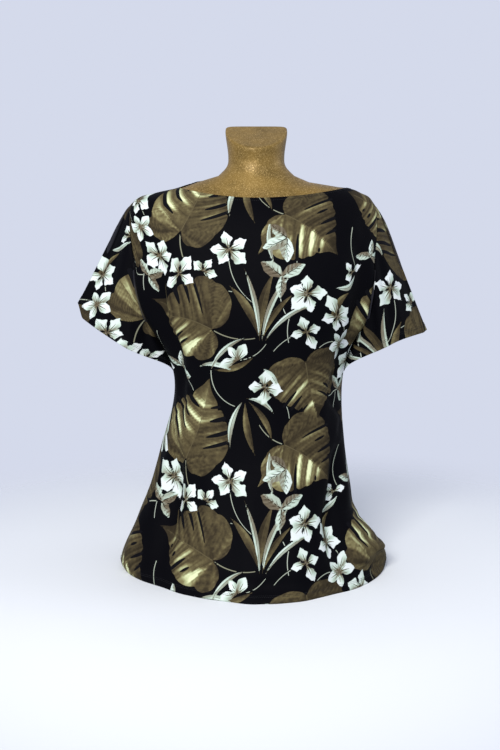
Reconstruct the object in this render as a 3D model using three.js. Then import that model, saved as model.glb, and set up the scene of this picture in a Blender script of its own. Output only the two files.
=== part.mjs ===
// A loose short-sleeved tunic on a limbless display torso, in millimetres, +Z up.
// The torso stands on the plane z = 0 and its front faces -Y. The tunic is cut as four cloth panels:
// a front, a back and two flared sleeves. It hangs from the torso's shoulders, and its hem is longer
// than the drop to the table, so it spreads and buckles where it meets the surface.
// Bearings go round the body in degrees: 0 is the centre front, +-180 the centre back, + is towards +X.
import * as THREE from "three";

// ---- driving dimensions ---------------------------------------------------------------------
const WALL = 1.6; // cloth wall
const SEAM_INSET = 0.17; // each panel stops this far short of the seam line
const REST_GAP = 0.6; // between the cloth and the torso where the shoulders carry it
const FRONT_COLUMNS = 36;
const BACK_COLUMNS = 28;
const SLEEVE_STEPS = 11;

const CLOTH_COLOUR = 0x14151a;
const FORM_COLOUR = 0x9a7b4c;

// Rings of the tunic's outer face, from above the neckline to the hem.
// left, right: half widths. front, back: depths at the centre lines. zFront, zSide, zBack: heights.
// seamY: where the side seam lies. cutLeft, cutRight: how square the front is (2 is an ellipse).
// reach: how far round, in degrees, a panel goes before the armhole cuts it (90 is the seam line).
// steps: grid rows between this ring and the next.
const TUNIC_COLUMNS = "left right front back zFront zSide zBack seamY cutLeft cutRight reach steps";
const TUNIC_RINGS = table(TUNIC_COLUMNS, {
  neckRoot: [110, 99, 67, 61, 722, 741, 757, 2, 2, 2, 90, 2],
  neckline: [147, 170, 75, 66, 707.5, 729, 744, 4, 2, 2, 90, 3],
  yoke: [190, 196, 94, 79, 682, 719.5, 712, 5, 2, 2, 90, 2],
  shoulder: [227, 216, 109, 91, 650, 707, 674, 6, 2, 2, 90, 2],
  cap: [246, 234, 120, 98, 611, 668, 632, 5, 2, 2, 74, 2],
  chest: [250, 240, 131, 103, 568, 616, 588, 4, 2, 2, 66, 2],
  bust: [246, 237, 137, 104, 524, 560, 540, 3, 2, 2, 65, 2],
  underBust: [224, 221, 136, 101, 480, 498, 488, 2, 2, 2, 70, 2],
  underarm: [181, 183, 131, 96, 436, 437, 440, 0, 2.1, 2.1, 90, 2],
  ribs: [160, 167, 125, 90, 385, 385, 388, 0, 2.1, 2.1, 90, 2],
  waist: [159, 164, 122, 88, 326, 326, 328, 0, 2.1, 2.1, 90, 2],
  highHip: [179, 171, 129, 101, 250, 250, 250, 0, 2, 2.1, 90, 2],
  hip: [202, 183, 146, 121, 170, 170, 170, 4, 1.9, 2.1, 90, 2],
  flare: [224, 191, 163, 140, 118, 118, 118, 8, 1.85, 2.1, 90, 1],
  sway: [238, 212, 175, 153, 84, 84, 84, 11, 1.85, 2.05, 90, 2],
  spread: [256, 243, 190, 168, 47, 46, 46, 14, 1.8, 2, 90, 1],
  crease: [265, 256, 198, 176, 24, 22, 24, 16, 1.75, 1.95, 90, 1],
  foot: [267, 257, 213, 187, 8, 9, 9, 17, 1.7, 1.9, 90, 1],
  hem: [262, 252, 219, 191, 0, 0, 0, 17, 1.7, 1.9, 90, 0],
});
const NECKLINE_RING = 1;

// The neckline climbs the torso's shoulder beside the neck on one side, and falls back behind it.
// Bearings where the climb starts, where it is whole, where it starts to fall and where it is gone.
const NECKLINE_CLIMB = { start: -77, whole: -97, fall: -118, gone: -172, share: 0.93 };

// Soft troughs and swells in the hanging cloth, pressed in or out of the rings.
// at, foot: bearing at its top and its foot. top, bottom: heights between which it fades in and out.
// depth: + is pressed in. width: in degrees.
const FOLD_COLUMNS = "at foot top bottom depth width";
const FOLDS = table(FOLD_COLUMNS, {
  rightHipTrough: [66, 34, 258, -8, 28, 8],
  rightBagSwell: [70, 72, 126, 14, -14, 17],
  rightBagPinch: [66, 64, 44, 4, 12, 18],
  rightSideTrough: [104, 100, 150, -20, 12, 8],
  leftHipTrough: [-58, -45, 262, -15, 22, 9],
  leftLobeSwell: [-74, -68, 210, -20, -6, 10],
  frontSwell: [12, 8, 230, -30, -4, 20],
  frontHemTrough: [-16, -20, 110, -30, 5, 9],
  leftUnderarmDrag: [-40, -68, 605, 345, 12, 7],
  rightUnderarmDrag: [46, 66, 590, 350, 8, 8],
  leftBust: [-30, -30, 610, 470, -5, 17],
  rightBust: [30, 30, 610, 470, -5, 17],
  leftWaistTuck: [-66, -58, 425, 270, 5, 8],
  rightWaistTuck: [64, 58, 430, 290, 4, 8],
  backCentreTrough: [180, 180, 520, 40, 10, 11],
  backLeftTrough: [-148, -138, 300, -20, 16, 10],
  backRightTrough: [150, 142, 300, -20, 15, 10],
  backLeftSwell: [-164, -160, 250, -20, -5, 11],
  backRightSwell: [165, 160, 250, -20, -5, 11],
  backLeftUnderarm: [-120, -112, 570, 345, 8, 9],
  backRightUnderarm: [119, 112, 570, 345, 8, 9],
});

// Sleeves. tip is the outer end of the cuff and low its end under the arm, as [x, y, z].
// The cuff stands off the line between them by CUFF_FRONT and CUFF_BACK. lift: how far its middle is
// raised. notch: how far it drops at once beside its tip. swell: how full the sleeve head is.
const CUFF_FRONT = 50;
const CUFF_BACK = 42;
const SLEEVES = {
  left: { side: -1, tip: [-340, 8, 513], low: [-163.5, 2, 385], lift: 0, notch: 22, swell: 0.55 },
  right: { side: 1, tip: [326, 6, 462], low: [170, 2, 383], lift: 17, notch: 3, swell: 0.6 },
};
const UNDERARM_SWELL = 0.12;
const CUFF_WAVES = [
  { turns: 1.5, size: 5, shift: 0.4 },
  { turns: 2.5, size: 3, shift: 1.9 },
];

// Rings of the display torso's neck, from its slanted top down, and of its body below the shoulders.
// flat: how square the back is. level: 1 where the ring lies in one slanted plane, 0 where its sides sag.
const FORM_COLUMNS = "half front back zFront zSide zBack seamY flat level steps";
const NECK_RINGS = table(FORM_COLUMNS, {
  rim: [55, 47.5, 25.5, 799.5, 836.5, 843.5, 13, 6, 1, 1],
  lip: [57.5, 50.5, 28.5, 796, 834, 841.5, 13, 6, 1, 1],
  top: [57, 50, 30, 790, 824, 831, 12, 5.5, 1, 1],
  slim: [52.5, 46.5, 34, 774, 788, 804, 8, 3.6, 0.6, 2],
  flare: [55, 49, 42, 756, 768, 785, 4, 2.6, 0.2, 2],
  root: [71, 57, 51, 738, 750.5, 767, 2, 2.2, 0, 2],
});
const BODY_RINGS = table(FORM_COLUMNS, {
  shoulderEnd: [221, 105, 87, 632, 684, 654, 6, 2, 0, 1],
  armhole: [207, 112, 91, 606, 650, 624, 5, 2, 0, 2],
  chest: [188, 121, 95, 568, 598, 582, 4, 2, 0, 2],
  bust: [172, 130, 94, 530, 540, 536, 2, 2, 0, 2],
  underBust: [158, 125, 87, 482, 484, 484, 0, 2, 0, 2],
  ribs: [145, 107, 78, 425, 425, 425, 0, 2, 0, 2],
  waist: [135, 96, 72, 345, 345, 345, 0, 2, 0, 2],
  highHip: [141, 98, 79, 280, 280, 280, 0, 2, 0, 2],
  hip: [151, 100, 92, 205, 205, 205, 0, 2, 0, 2],
  seat: [156, 101, 101, 130, 130, 130, 0, 2, 0, 2],
  thigh: [158, 102, 103, 50, 50, 50, 0, 2, 0, 1],
  edge: [157.5, 101.5, 102.5, 5, 5, 5, 0, 2, 0, 1],
  base: [154, 98, 99, 0, 0, 0, 0, 2, 0, 0],
});

// ---- small tools ----------------------------------------------------------------------------
// Turns rows of numbers into rows of named values, in order.
function table(columns, rows) {
  const names = columns.split(" ");
  return Object.entries(rows).map(([name, values]) =>
    Object.fromEntries([["name", name], ...names.map((key, i) => [key, values[i]])])
  );
}

const radians = (degrees) => (degrees * Math.PI) / 180;
const mix = (a, b, t) => a + (b - a) * t;
const clamp01 = (t) => Math.min(1, Math.max(0, t));
const smooth = (t) => clamp01(t) ** 2 * (3 - 2 * clamp01(t));

// The ring at a place s along a table, where 0 is its first ring, on Catmull-Rom curves.
function ringAt(rings, s) {
  const index = Math.min(rings.length - 2, Math.max(0, Math.floor(s)));
  const t = s - index;
  const [a, b, c, d] = [-1, 0, 1, 2].map((i) => rings[Math.min(rings.length - 1, Math.max(0, index + i))]);
  const made = {};
  for (const key of Object.keys(b).filter((name) => name !== "name" && name !== "steps")) {
    const [p, q, r, v] = [a[key], b[key], c[key], d[key]];
    made[key] = q + 0.5 * t * (r - p + t * (2 * p - 5 * q + 4 * r - v + t * (3 * (q - r) + v - p)));
  }
  return made;
}

// The places of a table's grid rows: each ring and the steps after it.
function placesOf(rings) {
  return rings.flatMap((ring, index) =>
    Array.from({ length: Math.max(1, ring.steps) }, (_, step) => index + step / Math.max(1, ring.steps))
  );
}

const placeOf = (name) => TUNIC_RINGS.findIndex((ring) => ring.name === name);

// A point of a ring at a bearing.
function ringPoint(ring, bearing) {
  const sine = Math.sin(radians(bearing));
  const cosine = Math.cos(radians(bearing));
  const front = cosine > 0;
  const half = ring.half ?? (sine < 0 ? ring.left : ring.right);
  const square = front ? ((sine < 0 ? ring.cutLeft : ring.cutRight) ?? 2) : (ring.flat ?? 2);
  const across = Math.sign(sine) * Math.abs(sine) ** (2 / square);
  const along = Math.abs(cosine) ** (2 / square);
  const rise = mix(cosine * cosine, along, ring.level ?? 0);
  return new THREE.Vector3(
    half * across,
    mix(ring.seamY, front ? -ring.front : ring.back, along),
    mix(ring.zSide, front ? ring.zFront : ring.zBack, rise)
  );
}

// How far the folds press a point of the cloth inwards.
function foldDepth(bearing, height) {
  return FOLDS.reduce((sum, fold) => {
    const down = clamp01((fold.top - height) / (fold.top - fold.bottom));
    const away = ((bearing - mix(fold.at, fold.foot, down) + 540) % 360) - 180;
    const fade = Math.sin(Math.PI * down) ** 0.7;
    return sum + fold.depth * fade * Math.exp(-((away / fold.width) ** 2));
  }, 0);
}

// A point of the tunic's outer face.
function clothPoint(place, bearing) {
  const ring = ringAt(TUNIC_RINGS, place);
  const point = ringPoint(ring, bearing);
  const inward = new THREE.Vector2(-point.x, ring.seamY - point.y).normalize();
  const depth = foldDepth(bearing, point.z);
  point.x += inward.x * depth;
  point.y += inward.y * depth;
  return point;
}

// ---- grids ----------------------------------------------------------------------------------
// Where a panel's row lies at a bearing: the first rows follow the neckline as it climbs.
function climbed(place, bearing) {
  const { start, whole, fall, gone, share } = NECKLINE_CLIMB;
  const turned = ((bearing + 540) % 360) - 180;
  const climb = smooth((turned - start) / (whole - start)) * (1 - smooth((turned - fall) / (gone - fall)));
  const hold = clamp01(placeOf("yoke") - place);
  return place - share * hold * (turned < 0 ? climb : 0);
}

// A panel of the body about its centre bearing: rows from neckline to hem, columns from seam to seam.
function bodyGrid(centre, columns) {
  const places = placesOf(TUNIC_RINGS).filter((place) => place >= NECKLINE_RING);
  return places.map((place) => {
    const reach = Math.min(90, ringAt(TUNIC_RINGS, place).reach);
    return Array.from({ length: columns + 1 }, (_, column) => {
      const bearing = centre + ((2 * column) / columns - 1) * reach;
      return clothPoint(climbed(place, bearing), bearing);
    });
  });
}

// Unit normals of a grid's outer face. wraps says that its columns close on themselves.
function gridNormals(grid, wraps, sign) {
  const last = grid.length - 1;
  const count = grid[0].length;
  return grid.map((line, i) =>
    line.map((_, j) => {
      const before = wraps ? line[(j + count - 1) % count] : line[Math.max(0, j - 1)];
      const after = wraps ? line[(j + 1) % count] : line[Math.min(count - 1, j + 1)];
      const across = after.clone().sub(before);
      const along = grid[Math.min(last, i + 1)][j].clone().sub(grid[Math.max(0, i - 1)][j]);
      return across.cross(along).normalize().multiplyScalar(sign);
    })
  );
}

// Two panels share one normal along their common seams, so that their walls are mitred there.
function mitre(one, other) {
  const ends = (grid, i) => [0, grid[i].length - 1];
  one.grid.forEach((line, i) =>
    ends(one.grid, i).forEach((j) =>
      ends(other.grid, i)
        .filter((k) => line[j].distanceTo(other.grid[i][k]) < SEAM_INSET)
        .forEach((k) => {
          const shared = one.normals[i][j].clone().add(other.normals[i][k]).normalize();
          one.normals[i][j] = shared;
          other.normals[i][k] = shared.clone();
        })
    )
  );
}

// Draws a body panel's sewn sides back from the seam line.
function drawBack(grid) {
  return grid.map((line) => {
    const moved = line.map((point) => point.clone());
    const last = line.length - 1;
    moved[0].add(line[1].clone().sub(line[0]).setLength(SEAM_INSET));
    moved[last].add(line[last - 1].clone().sub(line[last]).setLength(SEAM_INSET));
    return moved;
  });
}

// ---- solids ---------------------------------------------------------------------------------
// Collects triangles of points into one closed geometry.
class Shell {
  constructor() {
    this.positions = [];
    this.faces = [];
  }

  add(point) {
    this.positions.push(point.x, point.y, point.z);
    return this.positions.length / 3 - 1;
  }

  addGrid(grid) {
    return grid.map((line) => line.map((point) => this.add(point)));
  }

  at(index) {
    return new THREE.Vector3().fromArray(this.positions, index * 3);
  }

  // A quad a-b-c-d, cut along its shorter diagonal.
  quad(a, b, c, d, flip) {
    const split = this.at(a).distanceTo(this.at(c)) <= this.at(b).distanceTo(this.at(d));
    const pair = split ? [[a, b, c], [a, c, d]] : [[a, b, d], [b, c, d]];
    pair.forEach((face) => this.faces.push(flip ? face.reverse() : face));
  }

  // Quads over lines of indices.
  skin(lines, wraps, flip) {
    const count = lines[0].length;
    const spans = wraps ? count : count - 1;
    for (let i = 0; i + 1 < lines.length; i++) {
      for (let j = 0; j < spans; j++) {
        const k = (j + 1) % count;
        this.quad(lines[i][j], lines[i][k], lines[i + 1][k], lines[i + 1][j], flip);
      }
    }
  }

  // A fan from a centre point to a closed line of indices.
  fan(line, centre, flip) {
    const hub = this.add(centre);
    line.forEach((index, j) => {
      const face = [hub, index, line[(j + 1) % line.length]];
      this.faces.push(flip ? face.reverse() : face);
    });
  }

  geometry() {
    const made = new THREE.BufferGeometry();
    made.setAttribute("position", new THREE.Float32BufferAttribute(this.positions, 3));
    made.setIndex(this.faces.flat());
    made.computeVertexNormals();
    return made;
  }
}

// A cloth wall: the outer grid, the same grid moved in by the wall, and a rim round every free edge.
function wallGeometry({ grid, normals, wraps, sign }) {
  const shell = new Shell();
  const outer = shell.addGrid(grid);
  const inner = shell.addGrid(
    grid.map((line, i) => line.map((point, j) => point.clone().addScaledVector(normals[i][j], -WALL)))
  );
  const flip = sign < 0;
  shell.skin(outer, wraps, flip);
  shell.skin(inner, wraps, !flip);
  shell.skin([outer.at(0), inner.at(0)], wraps, !flip);
  shell.skin([outer.at(-1), inner.at(-1)], wraps, flip);
  if (!wraps) {
    const column = (lines, j) => lines.map((line) => line.at(j));
    shell.skin([column(outer, 0), column(inner, 0)], false, flip);
    shell.skin([column(outer, -1), column(inner, -1)], false, !flip);
  }
  return shell.geometry();
}

// ---- the tunic ------------------------------------------------------------------------------
function bodyPanel(centre, columns) {
  const grid = bodyGrid(centre, columns);
  const normals = gridNormals(grid, false, -1);
  const hem = normals.length - 1;
  normals[hem] = normals[hem].map((normal) => normal.clone().setZ(0).normalize());
  return { grid, normals, wraps: false, sign: -1 };
}

// The armhole as a closed line: down its front edge from the shoulder, and up its back edge.
function armhole(front, back, side) {
  const rows = [placeOf("shoulder"), placeOf("underarm")].map((place) =>
    placesOf(TUNIC_RINGS).filter((at) => at >= NECKLINE_RING).indexOf(place)
  );
  const edge = (panel, j) =>
    panel.grid.slice(rows[0], rows[1] + 1).map((line, i) => ({
      point: line.at(j),
      normal: panel.normals[rows[0] + i].at(j),
    }));
  const frontEdge = edge(front, side > 0 ? -1 : 0);
  const backEdge = edge(back, side > 0 ? 0 : -1);
  return [...frontEdge, ...backEdge.slice(1, -1).reverse()];
}

// Where the cuff lies: share 0 is its tip, 0.5 its end under the arm, and 1 the tip again from behind.
function cuffPoint(sleeve, share) {
  const forward = share <= 0.5;
  const down = forward ? share * 2 : 2 - share * 2;
  const bow = Math.sin(Math.PI * down);
  const wave = CUFF_WAVES.reduce(
    (sum, { turns, size, shift }) => sum + size * bow * Math.sin(radians(360 * turns * down) + shift),
    0
  );
  const point = new THREE.Vector3(...sleeve.tip).lerp(new THREE.Vector3(...sleeve.low), down);
  point.y += forward ? wave - CUFF_FRONT * bow ** 0.75 : CUFF_BACK * bow ** 0.75 - wave;
  point.z += sleeve.lift * bow - sleeve.notch * (1 - down) * smooth(down * 16);
  return point;
}

// A sleeve: lines from the armhole to the cuff, which leave the body as its own surface runs.
function sleevePanel(front, back, sleeve) {
  const loop = armhole(front, back, sleeve.side);
  const count = loop.length;
  const sideways = new THREE.Vector3(sleeve.side, 0, 0);
  const lines = loop.map(({ point, normal }, k) => {
    const share = k / count;
    const under = 1 - Math.abs(2 * share - 1);
    const edge = loop[(k + 1) % count].point.clone().sub(loop[(k + count - 1) % count].point);
    const cuff = cuffPoint(sleeve, share);
    const run = cuff.clone().sub(point);
    const leaves = edge.cross(normal).normalize().multiplyScalar(-sleeve.side);
    leaves.lerp(sideways, smooth(under * 1.5)).normalize();
    const start = point.clone().addScaledVector(leaves, SEAM_INSET);
    leaves.multiplyScalar(run.length() * mix(sleeve.swell, UNDERARM_SWELL, smooth(under * 1.5)));
    return { start, leaves, cuff, run };
  });
  const grid = Array.from({ length: SLEEVE_STEPS + 1 }, (_, step) => {
    const w = step / SLEEVE_STEPS;
    return lines.map(({ start, leaves, cuff, run }) =>
      start
        .clone()
        .lerp(cuff, smooth(w))
        .addScaledVector(leaves, w * (1 - w) ** 2)
        .addScaledVector(run, w * w * (w - 1))
    );
  });
  const normals = gridNormals(grid, true, sleeve.side);
  normals[0] = normals[0].map((normal, k) => {
    const body = loop[k].normal;
    return normal.lerp(body, clamp01(normal.dot(body))).normalize();
  });
  return { grid, normals, wraps: true, sign: sleeve.side };
}

const front = bodyPanel(0, FRONT_COLUMNS);
const back = bodyPanel(180, BACK_COLUMNS);
mitre(front, back);
const sleeves = Object.entries(SLEEVES).map(([name, sleeve]) => [
  `sleeve_${name}`,
  sleevePanel(front, back, sleeve),
]);

// ---- the display torso ----------------------------------------------------------------------
// Its shoulders follow the inside of the tunic's yoke, just clear of it.
function formGeometry() {
  const turn = (count, start) => Array.from({ length: count / 2 }, (_, i) => start + (360 * i) / count);
  const bearings = [...turn(FRONT_COLUMNS, -90), ...turn(BACK_COLUMNS, 90)];
  const ringsOf = (rings) =>
    placesOf(rings).map((place) => {
      const ring = ringAt(rings, place);
      return bearings.map((bearing) => ringPoint(ring, bearing));
    });
  const yokePlaces = placesOf(TUNIC_RINGS).filter((place) => place <= placeOf("shoulder"));
  const yoke = yokePlaces.map((place) => bearings.map((bearing) => clothPoint(place, bearing)));
  const normals = gridNormals(yoke, true, -1);
  const shoulders = yoke.map((line, i) =>
    line.map((point, j) => point.clone().addScaledVector(normals[i][j], -WALL - REST_GAP))
  );
  const shell = new Shell();
  const lines = shell.addGrid([...ringsOf(NECK_RINGS), ...shoulders, ...ringsOf(BODY_RINGS)]);
  shell.skin(lines, true, true);
  const rim = NECK_RINGS[0];
  const crown = new THREE.Vector3(0, (rim.back - rim.front) / 2, (rim.zFront + rim.zBack) / 2);
  shell.fan(lines.at(0), crown, false);
  shell.fan(lines.at(-1), new THREE.Vector3(0, 0, 0), true);
  return shell.geometry();
}

// ---- the object -----------------------------------------------------------------------------
const cloth = new THREE.MeshStandardMaterial({ color: CLOTH_COLOUR, roughness: 0.7, metalness: 0 });
const gilt = new THREE.MeshStandardMaterial({ color: FORM_COLOUR, roughness: 0.45, metalness: 0.3 });

function named(name, geometry, material) {
  const mesh = new THREE.Mesh(geometry, material);
  mesh.name = name;
  return mesh;
}

const tunic = new THREE.Group();
[["front_panel", front], ["back_panel", back]].forEach(([name, panel]) =>
  tunic.add(named(name, wallGeometry({ ...panel, grid: drawBack(panel.grid) }), cloth))
);
sleeves.forEach(([name, panel]) => tunic.add(named(name, wallGeometry(panel), cloth)));

const display = new THREE.Group();
display.add(tunic, named("dress_form", formGeometry(), gilt));

export default display;
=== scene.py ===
"""A short-sleeved tunic in printed jersey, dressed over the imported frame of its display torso.

Lengths in the tables are millimetres, as in the part's source; meshes are in metres. Bearings go round
the body in degrees: 0 is the centre front (-Y), +-180 the centre back, + is towards +X.
"""

import enum
import logging
import math
from dataclasses import dataclass, field, replace
from typing import Callable, Iterable, Sequence

import bmesh
import bpy
import numpy as np

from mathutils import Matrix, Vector


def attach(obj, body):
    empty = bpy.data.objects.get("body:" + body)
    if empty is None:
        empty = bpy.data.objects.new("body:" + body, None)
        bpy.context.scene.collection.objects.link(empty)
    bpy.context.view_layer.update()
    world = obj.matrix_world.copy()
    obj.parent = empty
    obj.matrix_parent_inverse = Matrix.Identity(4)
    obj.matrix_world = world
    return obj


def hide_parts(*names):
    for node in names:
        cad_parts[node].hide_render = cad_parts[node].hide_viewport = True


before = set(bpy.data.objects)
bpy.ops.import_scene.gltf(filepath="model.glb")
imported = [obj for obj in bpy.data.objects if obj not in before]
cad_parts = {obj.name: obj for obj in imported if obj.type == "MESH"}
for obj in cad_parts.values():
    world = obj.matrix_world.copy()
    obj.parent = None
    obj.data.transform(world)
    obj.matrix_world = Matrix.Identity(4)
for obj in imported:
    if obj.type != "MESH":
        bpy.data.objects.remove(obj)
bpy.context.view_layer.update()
LOG = logging.getLogger("tunic")

MM = 0.001
Array = np.ndarray


# ---- tables of sizes ----
class Table:
    """Named rows of numbers under named columns."""

    def __init__(self, columns: str, usual: Sequence[float] = (), **rows: Sequence[float]) -> None:
        """Keeps the rows in their order.

        Args:
            columns: The columns' names, parted by spaces.
            usual: What the last columns hold in a row that leaves them out.
            **rows: Each row's numbers, by its name.
        """
        self.names = columns.split()
        self.rows = list(rows)
        spare = len(usual) - len(self.names)
        self.values = np.array([[*row, *usual[spare + len(row) :]] for row in rows.values()], dtype=float)

    def place(self, row: str) -> int:
        """Returns the place of a named row."""
        return self.rows.index(row)

    def at(self, place: Array) -> dict[str, Array]:
        """Reads every column, by its name, at places between the rows."""
        mixed = read_between(self.values, place)
        return {name: mixed[..., i] for i, name in enumerate(self.names)}


def read_between(values: Array, place: Array, closed: bool = False) -> Array:
    """Reads rows of numbers at places between them, on Catmull-Rom curves.

    Args:
        values: The rows.
        place: Places along them, 0 being the first row.
        closed: Whether the last row is followed by the first.

    Returns:
        The numbers at each place.
    """
    last = len(values) - 1
    index = np.floor(place).astype(int)
    index = index if closed else np.clip(index, 0, last - 1)
    t = (place - index)[..., None]
    near = [index + k for k in (-1, 0, 1, 2)]
    a, b, c, d = (values[k % len(values) if closed else np.clip(k, 0, last)] for k in near)
    return b + 0.5 * t * (c - a + t * (2 * a - 5 * b + 4 * c - d + t * (3 * (b - c) + d - a)))


def rings(**rows: Sequence[float]) -> Table:
    """Makes a table of rings: squarenesses of 2, level 0 and reach 90 are usual."""
    columns = "left right front back zFront zSide zBack seamY cutLeft cutRight flat level reach"
    return Table(columns, (2, 2, 2, 0, 90), **rows)


TUNIC_RINGS = rings(
    neckRoot=(110, 99, 67, 61, 722, 741, 757, 2),
    neckline=(147, 170, 75, 66, 707.5, 729, 744, 4),
    yoke=(190, 196, 94, 79, 682, 719.5, 712, 5),
    shoulder=(227, 216, 109, 91, 650, 707, 674, 6),
    cap=(246, 234, 120, 98, 611, 668, 632, 5, 2, 2, 2, 0, 74),
    chest=(250, 240, 131, 103, 568, 616, 588, 4, 2, 2, 2, 0, 66),
    bust=(246, 237, 137, 104, 524, 560, 540, 3, 2, 2, 2, 0, 65),
    underBust=(224, 221, 136, 101, 480, 498, 488, 2, 2, 2, 2, 0, 70),
    underarm=(181, 183, 131, 96, 436, 437, 440, 0, 2.1, 2.1),
    ribs=(160, 167, 125, 90, 385, 385, 388, 0, 2.1, 2.1),
    waist=(159, 164, 122, 88, 326, 326, 328, 0, 2.1, 2.1),
    highHip=(179, 171, 129, 101, 250, 250, 250, 0, 2, 2.1),
    hip=(202, 183, 146, 121, 170, 170, 170, 4, 1.9, 2.1),
    flare=(224, 191, 163, 140, 118, 118, 118, 8, 1.85, 2.1),
    sway=(238, 212, 175, 153, 84, 84, 84, 11, 1.85, 2.05),
    spread=(256, 243, 190, 168, 47, 46, 46, 14, 1.8, 2),
    crease=(265, 256, 198, 176, 24, 22, 24, 16, 1.75, 1.95),
    foot=(267, 257, 213, 187, 8, 9, 9, 17, 1.7, 1.9),
    hem=(262, 252, 219, 191, 0, 0, 0, 17, 1.7, 1.9),
)

NECK_RINGS = rings(
    rim=(55, 55, 47.5, 25.5, 799.5, 836.5, 843.5, 13, 2, 2, 6, 1),
    lip=(57.5, 57.5, 50.5, 28.5, 796, 834, 841.5, 13, 2, 2, 6, 1),
    top=(57, 57, 50, 30, 790, 824, 831, 12, 2, 2, 5.5, 1),
    slim=(52.5, 52.5, 46.5, 34, 774, 788, 804, 8, 2, 2, 3.6, 0.6),
    flare=(55, 55, 49, 42, 756, 768, 785, 4, 2, 2, 2.6, 0.2),
    root=(71, 71, 57, 51, 738, 750.5, 767, 2, 2, 2, 2.2),
)

BODY_RINGS = rings(
    shoulderEnd=(221, 211, 105, 87, 632, 684, 654, 6),
    armhole=(207, 203, 112, 91, 606, 650, 624, 5),
    chest=(188, 188, 121, 95, 568, 598, 582, 4),
    bust=(172, 172, 130, 94, 530, 540, 536, 2),
    underBust=(158, 158, 125, 87, 482, 484, 484, 0),
    ribs=(145, 145, 107, 78, 425, 425, 425, 0),
    waist=(135, 135, 96, 72, 345, 345, 345, 0),
    highHip=(141, 141, 98, 79, 280, 280, 280, 0),
    hip=(151, 151, 100, 92, 205, 205, 205, 0),
    seat=(156, 156, 101, 101, 130, 130, 130, 0),
    thigh=(158, 158, 102, 103, 50, 50, 50, 0),
    edge=(157.5, 157.5, 101.5, 102.5, 5, 5, 5, 0),
    base=(154, 154, 98, 99, 0, 0, 0, 0),
)


def folds(**rows: Sequence[float]) -> Table:
    """Makes a table of folds: their bearings and heights at both ends, depth and width."""
    return Table("at foot top bottom depth width", **rows)


FOLDS = folds(
    rightHipTrough=(66, 34, 258, -8, 28, 8),
    rightBagSwell=(70, 72, 126, 14, -14, 17),
    rightBagPinch=(66, 64, 44, 4, 12, 18),
    rightSideTrough=(104, 100, 150, -20, 12, 8),
    leftHipTrough=(-58, -45, 262, -15, 22, 9),
    leftLobeSwell=(-74, -68, 210, -20, -6, 10),
    frontSwell=(12, 8, 230, -30, -4, 20),
    frontHemTrough=(-16, -20, 110, -30, 5, 9),
    leftUnderarmDrag=(-40, -68, 605, 345, 12, 7),
    rightUnderarmDrag=(46, 66, 590, 350, 8, 8),
    leftBust=(-30, -30, 610, 470, -5, 17),
    rightBust=(30, 30, 610, 470, -5, 17),
    leftWaistTuck=(-66, -58, 425, 270, 5, 8),
    rightWaistTuck=(64, 58, 430, 290, 4, 8),
    backCentreTrough=(180, 180, 520, 40, 10, 11),
    backLeftTrough=(-148, -138, 300, -20, 16, 10),
    backRightTrough=(150, 142, 300, -20, 15, 10),
    backLeftSwell=(-164, -160, 250, -20, -5, 11),
    backRightSwell=(165, 160, 250, -20, -5, 11),
    backLeftUnderarm=(-120, -112, 570, 345, 8, 9),
    backRightUnderarm=(119, 112, 570, 345, 8, 9),
)

CREASES = folds(
    leftValley=(-43, -57, 640, 395, 7.5, 4.6),
    leftValleyRidge=(-33, -47, 610, 410, -4, 4),
    leftArmholeRidge=(-54, -67, 640, 450, -4, 4),
    leftShoulderDrag=(-60, -50, 700, 560, 3, 4),
    leftBustDrag=(-24, -40, 600, 470, 2.6, 4),
    rightValley=(47, 70, 650, 395, 6.5, 4.6),
    rightValleyRidge=(37, 57, 620, 410, -3.6, 4),
    rightArmholeRidge=(58, 78, 620, 440, -3, 4),
    rightShoulderDrag=(60, 50, 690, 560, 2.4, 4.5),
    rightBustDrag=(22, 38, 590, 470, 2, 4),
    leftWaistA=(-66, -46, 405, 345, 3.2, 5),
    leftWaistB=(-48, -80, 352, 292, 2.6, 5),
    leftWaistC=(-76, -58, 300, 255, 2.2, 5),
    rightWaistA=(67, 48, 402, 335, 3.2, 5),
    rightWaistB=(52, 80, 352, 290, 2.8, 5),
    rightWaistC=(76, 60, 300, 250, 2, 5),
    frontFallA=(-37, -33, 330, 20, 3, 5),
    frontFallB=(24, 27, 300, 10, 2.6, 6),
    frontFallC=(-6, -4, 210, -10, -2, 6),
    frontFallD=(10, 13, 180, -10, 1.8, 4),
    rightHipRidge=(56, 44, 230, 40, -5, 4),
    bagCreaseA=(56, 86, 88, 52, 5.5, 8),
    bagCreaseB=(50, 82, 62, 28, 4.5, 8),
    bagCreaseC=(62, 90, 122, 92, 3, 7),
    bagRidge=(46, 38, 120, 20, -4, 4),
    bagSideA=(84, 96, 110, 30, 4, 6),
    leftLobeA=(-62, -60, 120, 8, 4, 4),
    leftLobeB=(-80, -78, 150, 0, 3.4, 5),
    leftHipRidge=(-70, -56, 230, 30, -4, 4),
    hemNipA=(-30, -31, 46, -6, 3, 4),
    hemNipB=(4, 3, 40, -6, 2.4, 4),
    hemNipC=(26, 27, 44, -6, 3.2, 4),
    hemNipD=(-14, -12, 34, -6, 1.8, 3),
    backWaistA=(-150, -175, 390, 330, 3, 7),
    backWaistB=(160, 140, 380, 318, 2.8, 7),
    backWaistC=(-130, -108, 350, 296, 2.4, 6),
    backFallA=(-170, -172, 300, -10, 3.2, 5),
    backFallB=(168, 172, 280, -10, 3, 5),
    backFallC=(-128, -124, 230, -10, 3.6, 5),
    backFallD=(130, 126, 220, -10, 3.4, 5),
    backBladeLeft=(-146, -130, 650, 500, 3.6, 5),
    backBladeRight=(146, 132, 650, 510, 3.4, 5),
    backUnderarmLeft=(-104, -112, 560, 420, 3, 4),
    backUnderarmRight=(105, 113, 550, 420, 3, 4),
)


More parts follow.
